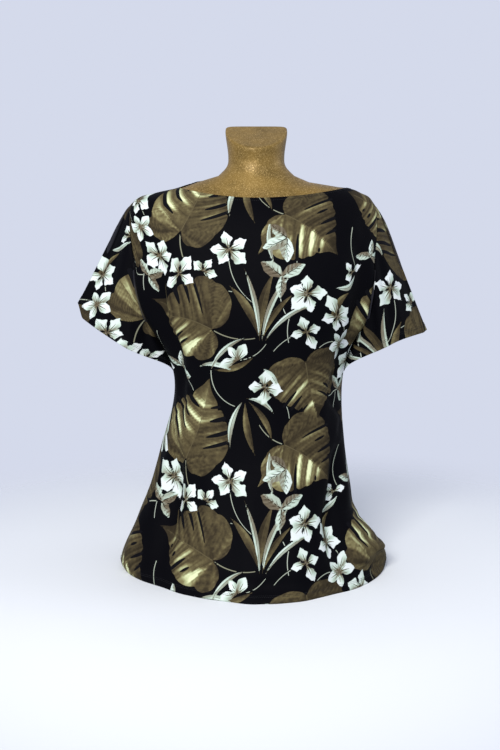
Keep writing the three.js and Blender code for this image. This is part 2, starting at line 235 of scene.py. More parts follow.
@dataclass(frozen=True)
class Climb:
    """How the neckline climbs one of the torso's shoulders and falls back behind the neck.

    The four bearings are where it starts, is whole, starts to fall and is gone.
    """

    start: float = -77
    whole: float = -97
    fall: float = -118
    gone: float = -172
    share: float = 0.93


# ---- small tools ----
def mix(a: Array | float, b: Array | float, t: Array | float) -> Array | float:
    """Returns the value a share t of the way from a to b."""
    return a + (b - a) * t


def smooth(t: Array | float) -> Array:
    """Returns an eased share, held between 0 and 1."""
    held = np.clip(t, 0, 1)
    return held * held * (3 - 2 * held)


def unit(vectors: Array) -> Array:
    """Returns vectors at length 1."""
    return vectors / np.maximum(np.linalg.norm(vectors, axis=-1, keepdims=True), 1e-12)


def turned(bearing: Array) -> Array:
    """Returns bearings between -180 and 180."""
    return (bearing + 540) % 360 - 180


def bell(x: Array, width: float) -> Array:
    """Returns a bell curve of height 1 at distances from its middle."""
    return np.exp(-((x / width) ** 2))


def pressed(deep: float, along: Array, away: Array, width: float) -> Array:
    """Returns how deep one fold is, at shares of its length and distances from its line."""
    return deep * np.sin(np.pi * along) ** 0.7 * bell(away, width)


def summed(steps: Array, axis: int = 0) -> Array:
    """Returns running sums along an axis, with a zero before the first."""
    return np.concatenate([np.zeros_like(np.take(steps, [0], axis)), np.cumsum(steps, axis)], axis)


def quads(grid: Array) -> Array:
    """Returns the four corners of each cell of a grid of numbers."""
    return np.stack([grid[:-1, :-1], grid[:-1, 1:], grid[1:, 1:], grid[1:, :-1]], -1).reshape(-1, 4)


def ring_points(ring: dict[str, Array], bearing: Array) -> Array:
    """Places points on rings.

    Args:
        ring: The rings' columns, one value for each point.
        bearing: Each point's bearing in degrees.

    Returns:
        The points, in millimetres.
    """
    angle = np.radians(bearing)
    sine, cosine = np.sin(angle), np.cos(angle)
    front = cosine > 0
    half = np.where(sine < 0, ring["left"], ring["right"])
    cut = np.where(sine < 0, ring["cutLeft"], ring["cutRight"])
    square = np.where(front, cut, ring["flat"])
    across = np.sign(sine) * np.abs(sine) ** (2 / square)
    along = np.abs(cosine) ** (2 / square)
    rise = mix(cosine * cosine, along, ring["level"])
    depth = np.where(front, -ring["front"], ring["back"])
    height = np.where(front, ring["zFront"], ring["zBack"])
    y, z = mix(ring["seamY"], depth, along), mix(ring["zSide"], height, rise)
    return np.stack([half * across, y, z], axis=-1)


def folded(table: Table, bearing: Array, height: Array) -> Array:
    """Works out how far a table of folds presses points inwards.

    Args:
        table: The folds.
        bearing: Each point's bearing in degrees.
        height: Each point's height in millimetres.

    Returns:
        Depths in millimetres, negative where the cloth swells out.
    """
    depth = np.zeros(np.broadcast(bearing, height).shape)
    for at, foot, top, bottom, deep, width in table.values:
        down = np.clip((top - height) / (top - bottom), 0, 1)
        depth += pressed(deep, down, turned(bearing - mix(at, foot, down)), width)
    return depth


@dataclass(frozen=True)
class Ripple:
    """Slow unevenness of hanging cloth, which grows towards the hem.

    Attributes:
        size: How far it presses the cloth in, in millimetres.
        top: The height where it starts.
        bottom: The height where it is whole.
        waves: Each wave's turns round the body, lean with height, shift and share of the size.
    """

    size: float = 1.3
    top: float = 700
    bottom: float = 20
    waves: tuple[tuple[float, ...], ...] = ((7, 0.013, 0.6, 1), (11, -0.021, 2.1, 0.7), (19, 0.017, 4, 0.5))

    def depth(self, bearing: Array, height: Array) -> Array:
        """Returns how far the ripple presses points in, in millimetres.

        Args:
            bearing: The points' bearings.
            height: Their heights in millimetres.

        Returns:
            The depth at each point.
        """
        angle = np.radians(bearing)
        wave = sum(w * np.sin(turns * angle + lean * height + shift) for turns, lean, shift, w in self.waves)
        grown = 0.25 + 0.75 * smooth((self.top - height) / (self.top - self.bottom))
        kept = smooth((height - 1) / 12) * smooth((self.top + 20 - height) / 60)
        return self.size * wave * grown * kept


@dataclass(frozen=True)
class TunicSurface:
    """The outer face of the tunic's body, as a function of place and bearing."""

    climb: Climb = Climb()
    ripple: Ripple = Ripple()

    def points(self, place: Array, bearing: Array, worn: bool = False) -> Array:
        """Places points on the surface.

        Args:
            place: Each point's place in the ring table.
            bearing: Each point's bearing in degrees.
            worn: Whether creases and ripple are there, besides the large folds.

        Returns:
            The points, in millimetres.
        """
        rings = TUNIC_RINGS.at(place)
        points = ring_points(rings, bearing)
        height = points[..., 2]
        press = folded(FOLDS, bearing, height)
        if worn:
            press = press + folded(CREASES, bearing, height) + self.ripple.depth(bearing, height)
        inward = unit(np.stack([-points[..., 0], rings["seamY"] - points[..., 1]], axis=-1))
        points[..., :2] += inward * press[..., None]
        return points

    def climbed(self, place: Array, bearing: Array) -> Array:
        """Returns where rows lie once the first of them follow the climbing neckline.

        Args:
            place: The rows' places in the ring table.
            bearing: The bearings of their points.

        Returns:
            The places, lower where the neckline climbs.
        """
        c = self.climb
        side = turned(bearing)
        lift = smooth((side - c.start) / (c.whole - c.start))
        lift = lift * (1 - smooth((side - c.fall) / (c.gone - c.fall)))
        hold = np.clip(TUNIC_RINGS.place("yoke") - place, 0, 1)
        return place - c.share * hold * np.where(side < 0, lift, 0)


# ---- cloth ----
Line = tuple[slice | int, ...] | int


@dataclass
class ClothSheet:
    """One cut piece of cloth: an outer face, an inner face and rounded edges.

    Attributes:
        name: The piece's name.
        points: The outer face's grid in millimetres, rows by columns.
        cut: The same grid laid flat, as across and down in metres. A tube has one column more.
        wraps: Whether the columns close into a tube.
        sign: Which way the grid's normals are turned to face outwards.
        wall: The cloth's thickness in millimetres.
        bulge: How far its edges round outwards, as a share of the wall.
        levelled: Whether its last row's normals are kept level, where it stands on the surface.
    """

    name: str
    points: Array
    cut: Array
    wraps: bool
    sign: int
    wall: float = 1.1
    bulge: float = 0.3
    levelled: bool = False

    def normals(self) -> Array:
        """Returns the outer face's unit normals.

        Returns:
            A vector for each point of the grid.
        """
        grid = self.points
        if self.wraps:
            across = np.roll(grid, -1, 1) - np.roll(grid, 1, 1)
        else:
            across = np.gradient(grid, axis=1)
        normals = unit(np.cross(across, np.gradient(grid, axis=0))) * self.sign
        if self.levelled:
            normals[-1, :, 2] = 0
            normals[-1] = unit(normals[-1])
        return normals

    def path(self, distance: float, lift: float, from_top: bool = False) -> Array:
        """Follows the last row, or the first, at a distance from it.

        Args:
            distance: How far from the row, along the cloth, in millimetres.
            lift: How far off the outer face, in millimetres.
            from_top: Whether it is the first row.

        Returns:
            The path's points in metres.
        """
        step = 1 if from_top else -1
        grid, normals = self.points[::step], self.normals()[::step]
        run = run_from(grid, 0, False)
        path = []
        for j in range(grid.shape[1]):
            i = int(np.searchsorted(run[:, j], distance)) - 1
            t = (distance - run[i, j]) / max(run[i + 1, j] - run[i, j], 1e-9)
            point = mix(grid[i, j], grid[i + 1, j], t)
            path.append(point + unit(mix(normals[i, j], normals[i + 1, j], t)) * lift)
        return np.array(path) * MM

    def build(self) -> "StampedMesh":
        """Makes the closed mesh of the wall.

        Returns:
            The mesh's object, and where each of its faces lies on the flat cut.
        """
        inward = self.normals() * self.wall
        count = self.points[..., 0].size
        outer = np.arange(count).reshape(self.points.shape[:2])
        inner, middle = outer + count, np.zeros_like(outer)
        points = [self.points.reshape(-1, 3), (self.points - inward).reshape(-1, 3)]
        start = 2 * count
        for edge, beside in self._edges():
            out = unit(self.points[edge] - self.points[beside]) * (self.bulge * self.wall)
            standing = self.levelled and edge == -1
            points.append(self.points[edge] - inward[edge] / 2 + (0 if standing else out))
            middle[edge] = start + np.arange(len(out))
            start += len(out)
        source = np.arange(self.cut.shape[0] * self.cut.shape[1]).reshape(self.cut.shape[:2])
        flip, whole = self.sign < 0, np.s_[:]
        faces = [(outer, source, flip, Side.RIGHT), (inner, source, not flip, Side.WRONG)]
        for line, turn in ((0, False), (-1, True), ((whole, 0), True), ((whole, -1), False))[: self._sides()]:
            for pair in ((outer[line], middle[line]), (middle[line], inner[line])):
                faces.append((np.stack(pair), np.stack([source[line]] * 2), flip == turn, Side.EDGE))
        mesh = bpy.data.meshes.new(self.name)
        placed = np.concatenate(points) * MM
        placed[:, 2] = np.maximum(placed[:, 2], 0)
        corners, sources, sides = map(np.concatenate, zip(*(self._cells(*part) for part in faces)))
        fill_mesh(mesh, placed, corners)
        return StampedMesh(link(self.name, mesh), self.cut, sources, sides)

    def _cells(self, grid: Array, source: Array, flip: bool, side: "Side") -> tuple[Array, Array, Array]:
        """Makes the faces of a grid of points.

        Args:
            grid: Point numbers, rows by columns.
            source: Numbers on the flat cut, which repeats a tube's first column at its end.
            flip: Whether the faces turn the other way.
            side: Which face of the cloth they are.

        Returns:
            For each face: its corners, where they lie on the flat cut, and the side.
        """
        if self.wraps and grid.shape[1] < source.shape[1]:
            grid = np.concatenate([grid, grid[:, :1]], 1)
        corners, sources = (quads(lines)[:, :: -1 if flip else 1] for lines in (grid, source))
        return corners, sources, np.full(len(corners), side.value)

    def _sides(self) -> int:
        """Returns how many edges the sheet has."""
        return 2 if self.wraps else 4

    def _edges(self) -> Sequence[tuple[Line, Line]]:
        """Returns each edge's line of the grid, and the line beside it.

        Returns:
            Pairs of lines, the ends of the rows only where the sheet is open.
        """
        inside = np.s_[1:-1]
        edges = ((0, 1), (-1, -2), ((inside, 0), (inside, 1)), ((inside, -1), (inside, -2)))
        return edges[: self._sides()]


class Side(enum.Enum):
    """Which face of the cloth a face of a mesh lies on."""

    RIGHT = 0
    WRONG = 1
    EDGE = 2


@dataclass(frozen=True)
class FlatMap:
    """Where a piece's parts lie on its flat map, all as shares of the map.

    Attributes:
        left: Where the right side starts.
        width: How wide the right side is, and the wrong side.
        next: How far beyond the one the other starts.
        foot: How far up both start.
        height: How high both are.
        strip: Where the edges' strips start, across and up.
        run: How long the strips are.
        deep: How deep each strip is.
        apart: From one strip to the next.
    """

    left: float = 0.004
    width: float = 0.49
    next: float = 0.502
    foot: float = 0.03
    height: float = 0.966
    strip: tuple[float, float] = (0.002, 0.004)
    run: float = 0.99
    deep: float = 0.009
    apart: float = 0.01


@dataclass
class StampedMesh:
    """A built piece and where the corners of its faces lie on the flat cut.

    Attributes:
        piece: The piece's object.
        cut: The flat cut's grid: across and down in metres.
        source: For each corner of each face, its number in that grid.
        side: Which face of the cloth each face lies on.
    """

    piece: bpy.types.Object
    cut: Array
    source: Array
    side: Array

    def attribute(self, name: str, *parts: Array) -> None:
        """Stores a vector of three parts for each corner of each face.

        Args:
            name: The attribute's name.
            *parts: The vector's parts, which may be single numbers.
        """
        values = np.stack(np.broadcast_arrays(*parts), -1)
        made = self.piece.data.attributes.new(name, "FLOAT_VECTOR", "CORNER")
        made.data.foreach_set("vector", np.ascontiguousarray(values, dtype=np.float32).ravel())

    def lay_out(self, name: str, to: FlatMap = FlatMap()) -> None:
        """Gives the piece a flat map with its right side, wrong side and edges apart.

        Args:
            name: The map's name.
            to: Where the parts go on it.
        """
        rows, columns = self.cut.shape[:2]
        down, across = np.divmod(self.source, columns)
        wrong, edge = (self.side[:, None] == side.value for side in (Side.WRONG, Side.EDGE))
        odd, turn = np.arange(len(self.source))[:, None] % 2, np.arange(4) // 2 % 2
        u = to.left + to.width * (across / (columns - 1)) + to.next * wrong
        v = to.foot + to.height * (1 - down / (rows - 1))
        u = np.where(edge, to.strip[0] + to.run * self.source / self.source.max(), u)
        v = np.where(edge, to.strip[1] + to.deep * turn + to.apart * odd, v)
        made = self.piece.data.uv_layers.new(name=name)
        made.data.foreach_set("uv", np.stack([u, v], -1).astype(np.float32).ravel())


def fill_mesh(mesh: bpy.types.Mesh, points: Array, faces: Array) -> None:
    """Fills a new mesh with quads, smooth shaded.

    Args:
        mesh: The empty mesh.
        points: Its points in metres.
        faces: Four point numbers for each face.
    """
    mesh.vertices.add(len(points))
    mesh.vertices.foreach_set("co", np.ascontiguousarray(points, dtype=np.float32).ravel())
    mesh.loops.add(faces.size)
    mesh.loops.foreach_set("vertex_index", np.ascontiguousarray(faces, dtype=np.int32).ravel())
    mesh.polygons.add(len(faces))
    mesh.polygons.foreach_set("loop_start", np.arange(0, faces.size, 4, dtype=np.int32))
    mesh.update(calc_edges=True)
    mesh.validate()
    mesh.shade_smooth()


def link(name: str, data: bpy.types.ID) -> bpy.types.Object:
    """Makes an object of some data in the scene.

    Args:
        name: The object's name.
        data: Its mesh, light or camera.

    Returns:
        The object.
    """
    made = bpy.data.objects.new(name, data)
    bpy.context.scene.collection.objects.link(made)
    return made


def laid_flat(grid: Array, centre: int, start: Array) -> Array:
    """Unrolls a grid of cloth into the coordinates of its flat cut.

    Args:
        grid: The cloth's points in millimetres, rows by columns.
        centre: The column that lies straight down the cut.
        start: How far down each column starts, in millimetres.

    Returns:
        Across and down for each point, in metres.
    """
    run = run_from(grid, 1, False)
    run = run - run[:, centre : centre + 1]
    steps = np.linalg.norm(np.diff(grid, axis=0), axis=-1)
    fall = np.sqrt(np.maximum(steps**2 - np.diff(run, axis=0) ** 2, (0.35 * steps) ** 2))
    return np.stack([run, start + summed(fall)], -1) * MM


def laid_along(grid: Array, centre: int, axis: Array) -> Array:
    """Unrolls a tube of cloth into the coordinates of its flat cut.

    Args:
        grid: The tube's points in millimetres, its first column repeated at its end.
        centre: The column that lies straight down the cut.
        axis: The unit vector that runs down the tube.

    Returns:
        Across and down for each point, in metres.
    """
    down = grid @ axis
    steps = np.diff(grid, axis=1)
    run = summed(np.linalg.norm(steps - (steps @ axis)[..., None] * axis, axis=-1), 1)
    return np.stack([run - run[:, centre : centre + 1], down - down.min()], -1) * MM


# ---- the tunic's pieces ----
@dataclass(frozen=True)
class Rows:
    """The tunic's rows from the neckline to the hem, evenly spaced along the cloth.

    Attributes:
        steps: How many steps down to the armhole's top, down the armhole, and on to the hem.
        marks: The rings that those stretches lie between.
        bearings: The bearings along which the cloth is measured.
    """

    steps: tuple[int, ...] = (26, 84, 126)
    marks: tuple[str, ...] = ("neckline", "shoulder", "underarm", "hem")
    bearings: tuple[float, ...] = (0, 70, -70, 180, 115, -115)

    def places(self, surface: TunicSurface) -> Array:
        """Returns each row's place in the ring table.

        Args:
            surface: The surface that the rows lie on.

        Returns:
            The places, from the neckline down.
        """
        marks = [TUNIC_RINGS.place(name) for name in self.marks]
        parts = [self._even(surface, *span) for span in zip(marks, marks[1:], self.steps)]
        return np.concatenate([[marks[0]], *parts])

    def _even(self, surface: TunicSurface, start: int, stop: int, count: int) -> Array:
        """Spaces rows evenly between two rings, without the first of them.

        Args:
            surface: The surface that the rows lie on.
            start: The upper ring's place.
            stop: The lower ring's place.
            count: How many rows to place.

        Returns:
            The rows' places, the last of them on the lower ring.
        """
        place = np.linspace(start, stop, 60 * (stop - start) + 1)[:, None]
        points = surface.points(*np.broadcast_arrays(place, np.array([self.bearings], dtype=float)))
        run = summed(np.linalg.norm(np.diff(points, axis=0), axis=-1).mean(axis=1))
        return np.interp(np.linspace(0, run[-1], count + 1)[1:], run, place[:, 0])


@dataclass
class SewnEdge:
    """How a seam draws the cloth in beside it, and keeps two pieces apart.

    Attributes:
        inset: How far each piece stands back from the seam line, in millimetres.
        roll: How deep the cloth is drawn in at the seam.
        width: How far from the seam it still is.
    """

    inset: float = 0.4
    roll: float = 1.5
    width: float = 3.2

    def draw_in(self, distance: Array) -> Array:
        """Returns how far the cloth is drawn in at distances from the seam, in millimetres."""
        return self.roll * bell(distance, self.width)


@dataclass
class TurnedHem:
    """The turned-up edge of the cloth: a doubled band that stands proud of the single cloth.

    Attributes:
        depth: How deep the band is, in millimetres.
        proud: How far it stands out.
        step: How far the cloth takes to come down from it.
        dip: How deep the stitches press in beside the step.
    """

    depth: float
    proud: float = 0.55
    step: float = 1.6
    dip: float = 0.45

    def stand_out(self, distance: Array) -> Array:
        """Returns how far the band stands out at distances from its edge, in millimetres."""
        band = 1 - smooth((distance - self.depth + self.step) / self.step)
        return self.proud * band - self.dip * bell(distance - self.depth + self.step / 2, 1.3)


def run_from(grid: Array, axis: int, last: bool) -> Array:
    """Measures how far each point lies from one edge of a grid, along the cloth.

    Args:
        grid: The cloth's points, rows by columns.
        axis: 0 to measure down the rows, 1 to measure across them.
        last: Whether the edge is the last row or column.

    Returns:
        Each point's distance in millimetres.
    """
    steps = np.linalg.norm(np.diff(grid, axis=axis), axis=-1)
    return np.flip(summed(np.flip(steps, axis), axis), axis) if last else summed(steps, axis)


@dataclass
class BodyPanel:
    """The front or the back of the tunic's body.

    Attributes:
        name: The piece's name.
        node: The solid that it stands for.
        centre: The bearing of its centre line.
        columns: How many steps across.
        cut_zero: The height, in millimetres, at which its flat cut's zero lies.
    """

    name: str
    node: str
    centre: float
    columns: int = 182
    cut_zero: float = 730
    rows: Rows = Rows()
    seam: SewnEdge = field(default_factory=SewnEdge)
    hem: TurnedHem = field(default_factory=lambda: TurnedHem(depth=20))
    neck: TurnedHem = field(default_factory=lambda: TurnedHem(depth=9, proud=0.3))
    surface: TunicSurface = TunicSurface()
    edges: list[Array] = field(default_factory=list)
    normals: list[Array] = field(default_factory=list)

    def sheet(self) -> ClothSheet:
        """Lays out the panel's cloth.

        Returns:
            The sheet, with its sewn edges kept for the sleeves.
        """
        places = self.rows.places(self.surface)
        reach = np.minimum(90, TUNIC_RINGS.at(places)["reach"])
        bearing = self.centre + reach[:, None] * np.linspace(-1, 1, self.columns + 1)
        place = self.surface.climbed(np.broadcast_to(places[:, None], bearing.shape), bearing)
        grid = self.surface.points(place, bearing, worn=True)
        cut = laid_flat(grid, self.columns // 2, self.cut_zero - grid[0, :, 2])
        made = ClothSheet(self.name, grid, cut, False, -1, levelled=True)
        normals = made.normals()
        self.edges = [grid[:, j].copy() for j in (0, -1)]
        self.normals = [normals[:, j].copy() for j in (0, -1)]
        sides = np.minimum(run_from(grid, 1, False), run_from(grid, 1, True))
        from_hem, from_neck = run_from(grid, 0, True), run_from(grid, 0, False)
        moved = self.hem.stand_out(from_hem) + self.neck.stand_out(from_neck) - self.neck.proud
        made.points = grid + normals * (moved - self.seam.draw_in(sides))[..., None]
        made.points[-1, :, 2] = 0
        for edge, beside in ((0, 1), (-1, -2)):
            made.points[:, edge] += unit(made.points[:, beside] - made.points[:, edge]) * self.seam.inset
        return made


@dataclass(frozen=True)
class CuffWave:
    """One wave along a cuff."""

    turns: float
    size: float
    shift: float


@dataclass
class Sleeve:
    """A short cut-on sleeve, which leaves the armhole as the body's own surface runs.

    Attributes:
        side: -1 for the sleeve towards -X, 1 for the other.
        tip: Where its upper edge ends, in millimetres.
        low: Where its lower edge ends.
        lift: How far the cuff bows upwards between them.
        notch: How far the cuff dips beside its tip.
        swell: How full the sleeve's head is.
        creases: Soft folds: place round the armhole at its head and foot, first and last share of the
            way to the cuff, depth in millimetres and width as a share of the way round.
        underarm: How soon, going round from the tip, it takes the underarm's own run.
        hug: How far from the underarm line, as a share of the way round, the sleeve lies on the body.
        hug_below: The height, in millimetres, under which it does.
        clear: How far off the body's outline it stays there, in millimetres.
    """

    name: str
    node: str
    side: int
    tip: tuple[float, float, float]
    low: tuple[float, float, float]
    lift: float
    notch: float
    swell: float
    creases: tuple[tuple[float, ...], ...]
    columns: int = 190
    steps: int = 96
    stations: int = 20
    underarm: float = 1.5
    underarm_swell: float = -0.1
    hug: float = 0.1
    hug_below: float = 450
    clear: float = 0.3
    bow_front: float = 50
    bow_back: float = 42
    waves: tuple[CuffWave, ...] = (CuffWave(1.5, 5, 0.4), CuffWave(2.5, 3, 1.9))
    seam: SewnEdge = field(default_factory=SewnEdge)
    hem: TurnedHem = field(default_factory=lambda: TurnedHem(depth=18, proud=0.5))

    def sheet(self, front: BodyPanel, back: BodyPanel) -> ClothSheet:
        """Lays out the sleeve between the panels' armholes and its cuff.

        Args:
            front: The front panel, after its own sheet is laid out.
            back: The back panel, likewise.

        Returns:
            The sleeve's sheet, a tube.
        """
        share = (np.arange(self.columns) / self.columns + 0.5) % 1
        coarse = np.arange(self.stations) / self.stations
        point, normal = self._armhole(front, back, coarse)
        edge = np.roll(point, -1, 0) - np.roll(point, 1, 0)
        leaves = unit(np.cross(edge, normal)) * -self.side
        leaves = unit(mix(leaves, np.array([self.side, 0, 0]), self._under(coarse)[:, None]))
        leaves = unit(read_between(leaves, share * self.stations, closed=True))
        start = self._armhole(front, back, share)[0] + leaves * self.seam.inset
        cuff = self._cuff(share)
        run = cuff - start
        pull = np.linalg.norm(run, axis=-1) * mix(self.swell, self.underarm_swell, self._under(share))
        w = np.linspace(0, 1, self.steps + 1)[:, None, None]
        grid = mix(start, cuff, smooth(w)) + leaves * pull[:, None] * w * (1 - w) ** 2
        grid = grid + run * w * w * (w - 1)
        self._lay_on_body(grid, front, share, w[..., 0])
        closed = np.concatenate([grid, grid[:, :1]], 1)
        cut = laid_along(closed, self.columns // 2, unit(cuff.mean(0) - start.mean(0)))
        made = ClothSheet(self.name, grid, cut, True, self.side)
        normals = made.normals()
        moved = self.hem.stand_out(run_from(grid, 0, True)) - self.seam.draw_in(run_from(grid, 0, False))
        made.points = grid + normals * (moved - self._creased(share, w[..., 0]))[..., None]
        return made

    def _under(self, share: Array) -> Array:
        """Returns how far places round the armhole belong to the underarm."""
        return smooth((1 - np.abs(2 * share - 1)) * self.underarm)

    def _lay_on_body(self, grid: Array, front: BodyPanel, share: Array, w: Array) -> None:
        """Draws the sleeve's underside to the body's outline, close under the arm.

        Args:
            grid: The sleeve's points, which are moved.
            front: The front panel, whose edge is the outline.
            share: Each column's share of the way round.
            w: Each step's share of the way to the cuff.
        """
        line = front.edges[-1 if self.side > 0 else 0]
        line = line[line[:, 2] < self.hug_below]
        beside = np.interp(-grid[..., 2], -line[:, 2], np.abs(line[:, 0]))
        hug = bell(share - 0.5, self.hug) * smooth(3 * w)
        grid[..., 0] = mix(grid[..., 0], self.side * (beside + self.clear), hug)

    def _armhole(self, front: BodyPanel, back: BodyPanel, share: Array) -> tuple[Array, Array]:
        """Reads points and normals round the armhole, down its front edge and up its back edge.

        Args:
            front: The front panel.
            back: The back panel.
            share: Each column's share of the way round.

        Returns:
            The points in millimetres, and their unit normals.
        """
        places = front.rows.places(front.surface)
        top, bottom = TUNIC_RINGS.place("shoulder"), TUNIC_RINGS.place("underarm")
        place = top + (bottom - top) * (1 - np.abs(2 * share - 1))
        forward = (share <= 0.5)[:, None]
        ends = (-1, 0) if self.side > 0 else (0, -1)
        read = []
        for lines in ("edges", "normals"):
            pair = [
                np.stack([np.interp(place, places, getattr(panel, lines)[j][:, k]) for k in range(3)], -1)
                for panel, j in zip((front, back), ends)
            ]
            read.append(np.where(forward, *pair))
        return read[0], unit(read[1])

    def _cuff(self, share: Array) -> Array:
        """Places the cuff's points: share 0 is its tip and 0.5 its end under the arm.

        Args:
            share: Each column's share of the way round.

        Returns:
            The points in millimetres.
        """
        forward = share <= 0.5
        down = np.where(forward, share * 2, 2 - share * 2)
        bow = np.maximum(np.sin(np.pi * down), 0)
        wave = sum(w.size * bow * np.sin(2 * np.pi * w.turns * down + w.shift) for w in self.waves)
        points = mix(np.array(self.tip), np.array(self.low), down[:, None])
        points[:, 1] += np.where(forward, wave - self.bow_front * bow**0.75, self.bow_back * bow**0.75 - wave)
        points[:, 2] += self.lift * bow - self.notch * (1 - down) * smooth(down * 16)
        return points

    def _creased(self, share: Array, w: Array) -> Array:
        """Returns how far the sleeve's folds press it in, steps by columns.

        Args:
            share: Each column's share of the way round.
            w: Each step's share of the way to the cuff.

        Returns:
            The depths in millimetres.
        """
        depth = np.zeros((len(w), len(share)))
        for head, foot, first, last, deep, width in self.creases:
            along = np.clip((w - first) / (last - first), 0, 1)
            away = (share - mix(head, foot, along) + 0.5) % 1 - 0.5
            depth += pressed(deep, along, away, width)
        return depth


# ---- the display torso ----
@dataclass
class Torso:
    """The limbless display torso, whole and smooth, with a slanted flat top to its neck.

    Attributes:
        wall: The cloth over its shoulders, in millimetres.
        rest_gap: How far under the cloth they lie where they show.
        hidden_gap: How much further they lie where they don't.
        least_step: How far apart two of its rows must be for both to be kept.
        crown_rings: How many rings close its top, and its base.
    """

    name: str = "display_torso"
    node: str = "dress_form"
    columns: int = 192
    wall: float = 1.6
    rest_gap: float = 0.6
    hidden_gap: float = 1.6
    least_step: float = 1.1
    crown_rings: int = 14
    surface: TunicSurface = TunicSurface()

    def build(self) -> bpy.types.Object:
        """Makes the torso's mesh.

        Returns:
            The torso's object.
        """
        bearing = np.arange(self.columns) * 360 / self.columns - 180
        neck, body = self._rows(NECK_RINGS, 16, bearing), self._rows(BODY_RINGS, 12, bearing)
        lines = self._evened(np.concatenate([neck, self._shoulders(bearing), body]))
        grid = np.concatenate([self._fill(lines[0])[::-1], lines, self._fill(lines[-1])])
        grid[..., 2] = np.maximum(grid[..., 2], 0)
        index = np.arange(grid[..., 0].size).reshape(grid.shape[:2])
        mesh = bpy.data.meshes.new(self.name)
        fill_mesh(mesh, grid.reshape(-1, 3) * MM, quads(np.concatenate([index, index[:, :1]], 1))[:, ::-1])
        self._close_poles(mesh)
        return link(self.name, mesh)

    @staticmethod
    def _rows(rings: Table, steps: int, bearing: Array) -> Array:
        """Places rows of points between a table's rings.

        Args:
            rings: The table.
            steps: How many steps from one ring to the next.
            bearing: The bearings of a row's points.

        Returns:
            The points in millimetres, rows by bearings.
        """
        last = len(rings.rows) - 1
        place, bearing = np.broadcast_arrays(np.linspace(0, last, last * steps + 1)[:, None], bearing)
        return ring_points(rings.at(place), bearing)

    def _shoulders(self, bearing: Array) -> Array:
        """Follows the inside of the tunic's yoke, just clear of it.

        Args:
            bearing: The bearings of a row's points.

        Returns:
            The points in millimetres, rows by bearings.
        """
        last = TUNIC_RINGS.place("shoulder")
        place, bearing = np.broadcast_arrays(np.linspace(0, last, last * 14 + 1)[:, None], bearing)
        points = self.surface.points(place, bearing)
        across = np.roll(points, -1, 1) - np.roll(points, 1, 1)
        normals = -unit(np.cross(across, np.gradient(points, axis=0)))
        hidden = smooth((place - 1.1) / 1.2)[..., None]
        return points - normals * (self.wall + self.rest_gap + self.hidden_gap * hidden)

    def _evened(self, lines: Array) -> Array:
        """Leaves out rows that nearly touch the one before.

        Args:
            lines: Closed rows of points.

        Returns:
            The rows that stand far enough apart.
        """
        kept = [lines[0]]
        for line in lines[1:]:
            if np.linalg.norm(line - kept[-1], axis=-1).max() > self.least_step:
                kept.append(line)
        return np.array(kept)

    def _fill(self, line: Array) -> Array:
        """Returns rings that shrink from a closed line to a small one round its middle.

        Args:
            line: The closed line's points.

        Returns:
            The rings, the small one last.
        """
        middle = (line.max(0) + line.min(0)) / 2
        shares = np.linspace(1, 0.02, self.crown_rings + 1)[1:, None, None]
        return middle + (line - middle) * shares

    @staticmethod
    def _close_poles(mesh: bpy.types.Mesh) -> None:
        """Caps the two small rings that are left at the crown and the base.

        Args:
            mesh: The torso's mesh.
        """
        made = bmesh.new()
        made.from_mesh(mesh)
        bmesh.ops.holes_fill(made, edges=[edge for edge in made.edges if edge.is_boundary], sides=0)
        bmesh.ops.recalc_face_normals(made, faces=made.faces)
        made.to_mesh(mesh)
        made.free()
        mesh.shade_smooth()


# ---- the print ----
def bow_path(share: Array, bow: float, curl: float) -> Array:
    """Returns a bowed line of length 1: across and along at shares of its length."""
    return np.stack([4 * bow * share * (1 - share) + curl * share**3, share], -1)


def curve_through(points: Sequence[tuple[float, float]], steps: int) -> Array:
    """Rounds a line through points on Catmull-Rom curves, with steps to each span."""
    last = len(points) - 1
    return read_between(np.array(points, dtype=float), np.linspace(0, last, last * steps + 1))


def measured(points: Array, start: Array, span: Array) -> tuple[Array, Array, Array]:
    """Measures points against straight spans.

    Args:
        points: The points.
        start: Where each span starts.
        span: How far it runs.

    Returns:
        For each point and span: the way from its start, the share along it and the distance.
    """
    away = points[:, None] - start
    share = (away * span).sum(-1) / np.maximum((span * span).sum(-1), 1e-12)
    return away, share, np.linalg.norm(away - np.clip(share, 0, 1)[..., None] * span, axis=-1)


def inside_by(outline: Array, points: Array) -> Array:
    """Returns how far points lie inside a closed outline, negative outside it.

    Args:
        outline: The outline's points.
        points: The points to measure.

    Returns:
        The distance for each point.
    """
    start, stop = outline, np.roll(outline, -1, 0)
    span = stop - start
    away, _, distances = measured(points, start, span)
    distance = distances.min(1)
    crosses = (start[:, 1] > points[:, None, 1]) != (stop[:, 1] > points[:, None, 1])
    reach = start[:, 0] + away[..., 1] * span[:, 0] / np.where(span[:, 1] == 0, 1e-12, span[:, 1])
    inside = (crosses & (points[:, None, 0] < reach)).sum(1) % 2 == 1
    return np.where(inside, distance, -distance)


def closed(first: Array, second: Array) -> Array:
    """Joins two lines that share both ends into a closed outline."""
    return np.concatenate([first, second[-2:0:-1]])


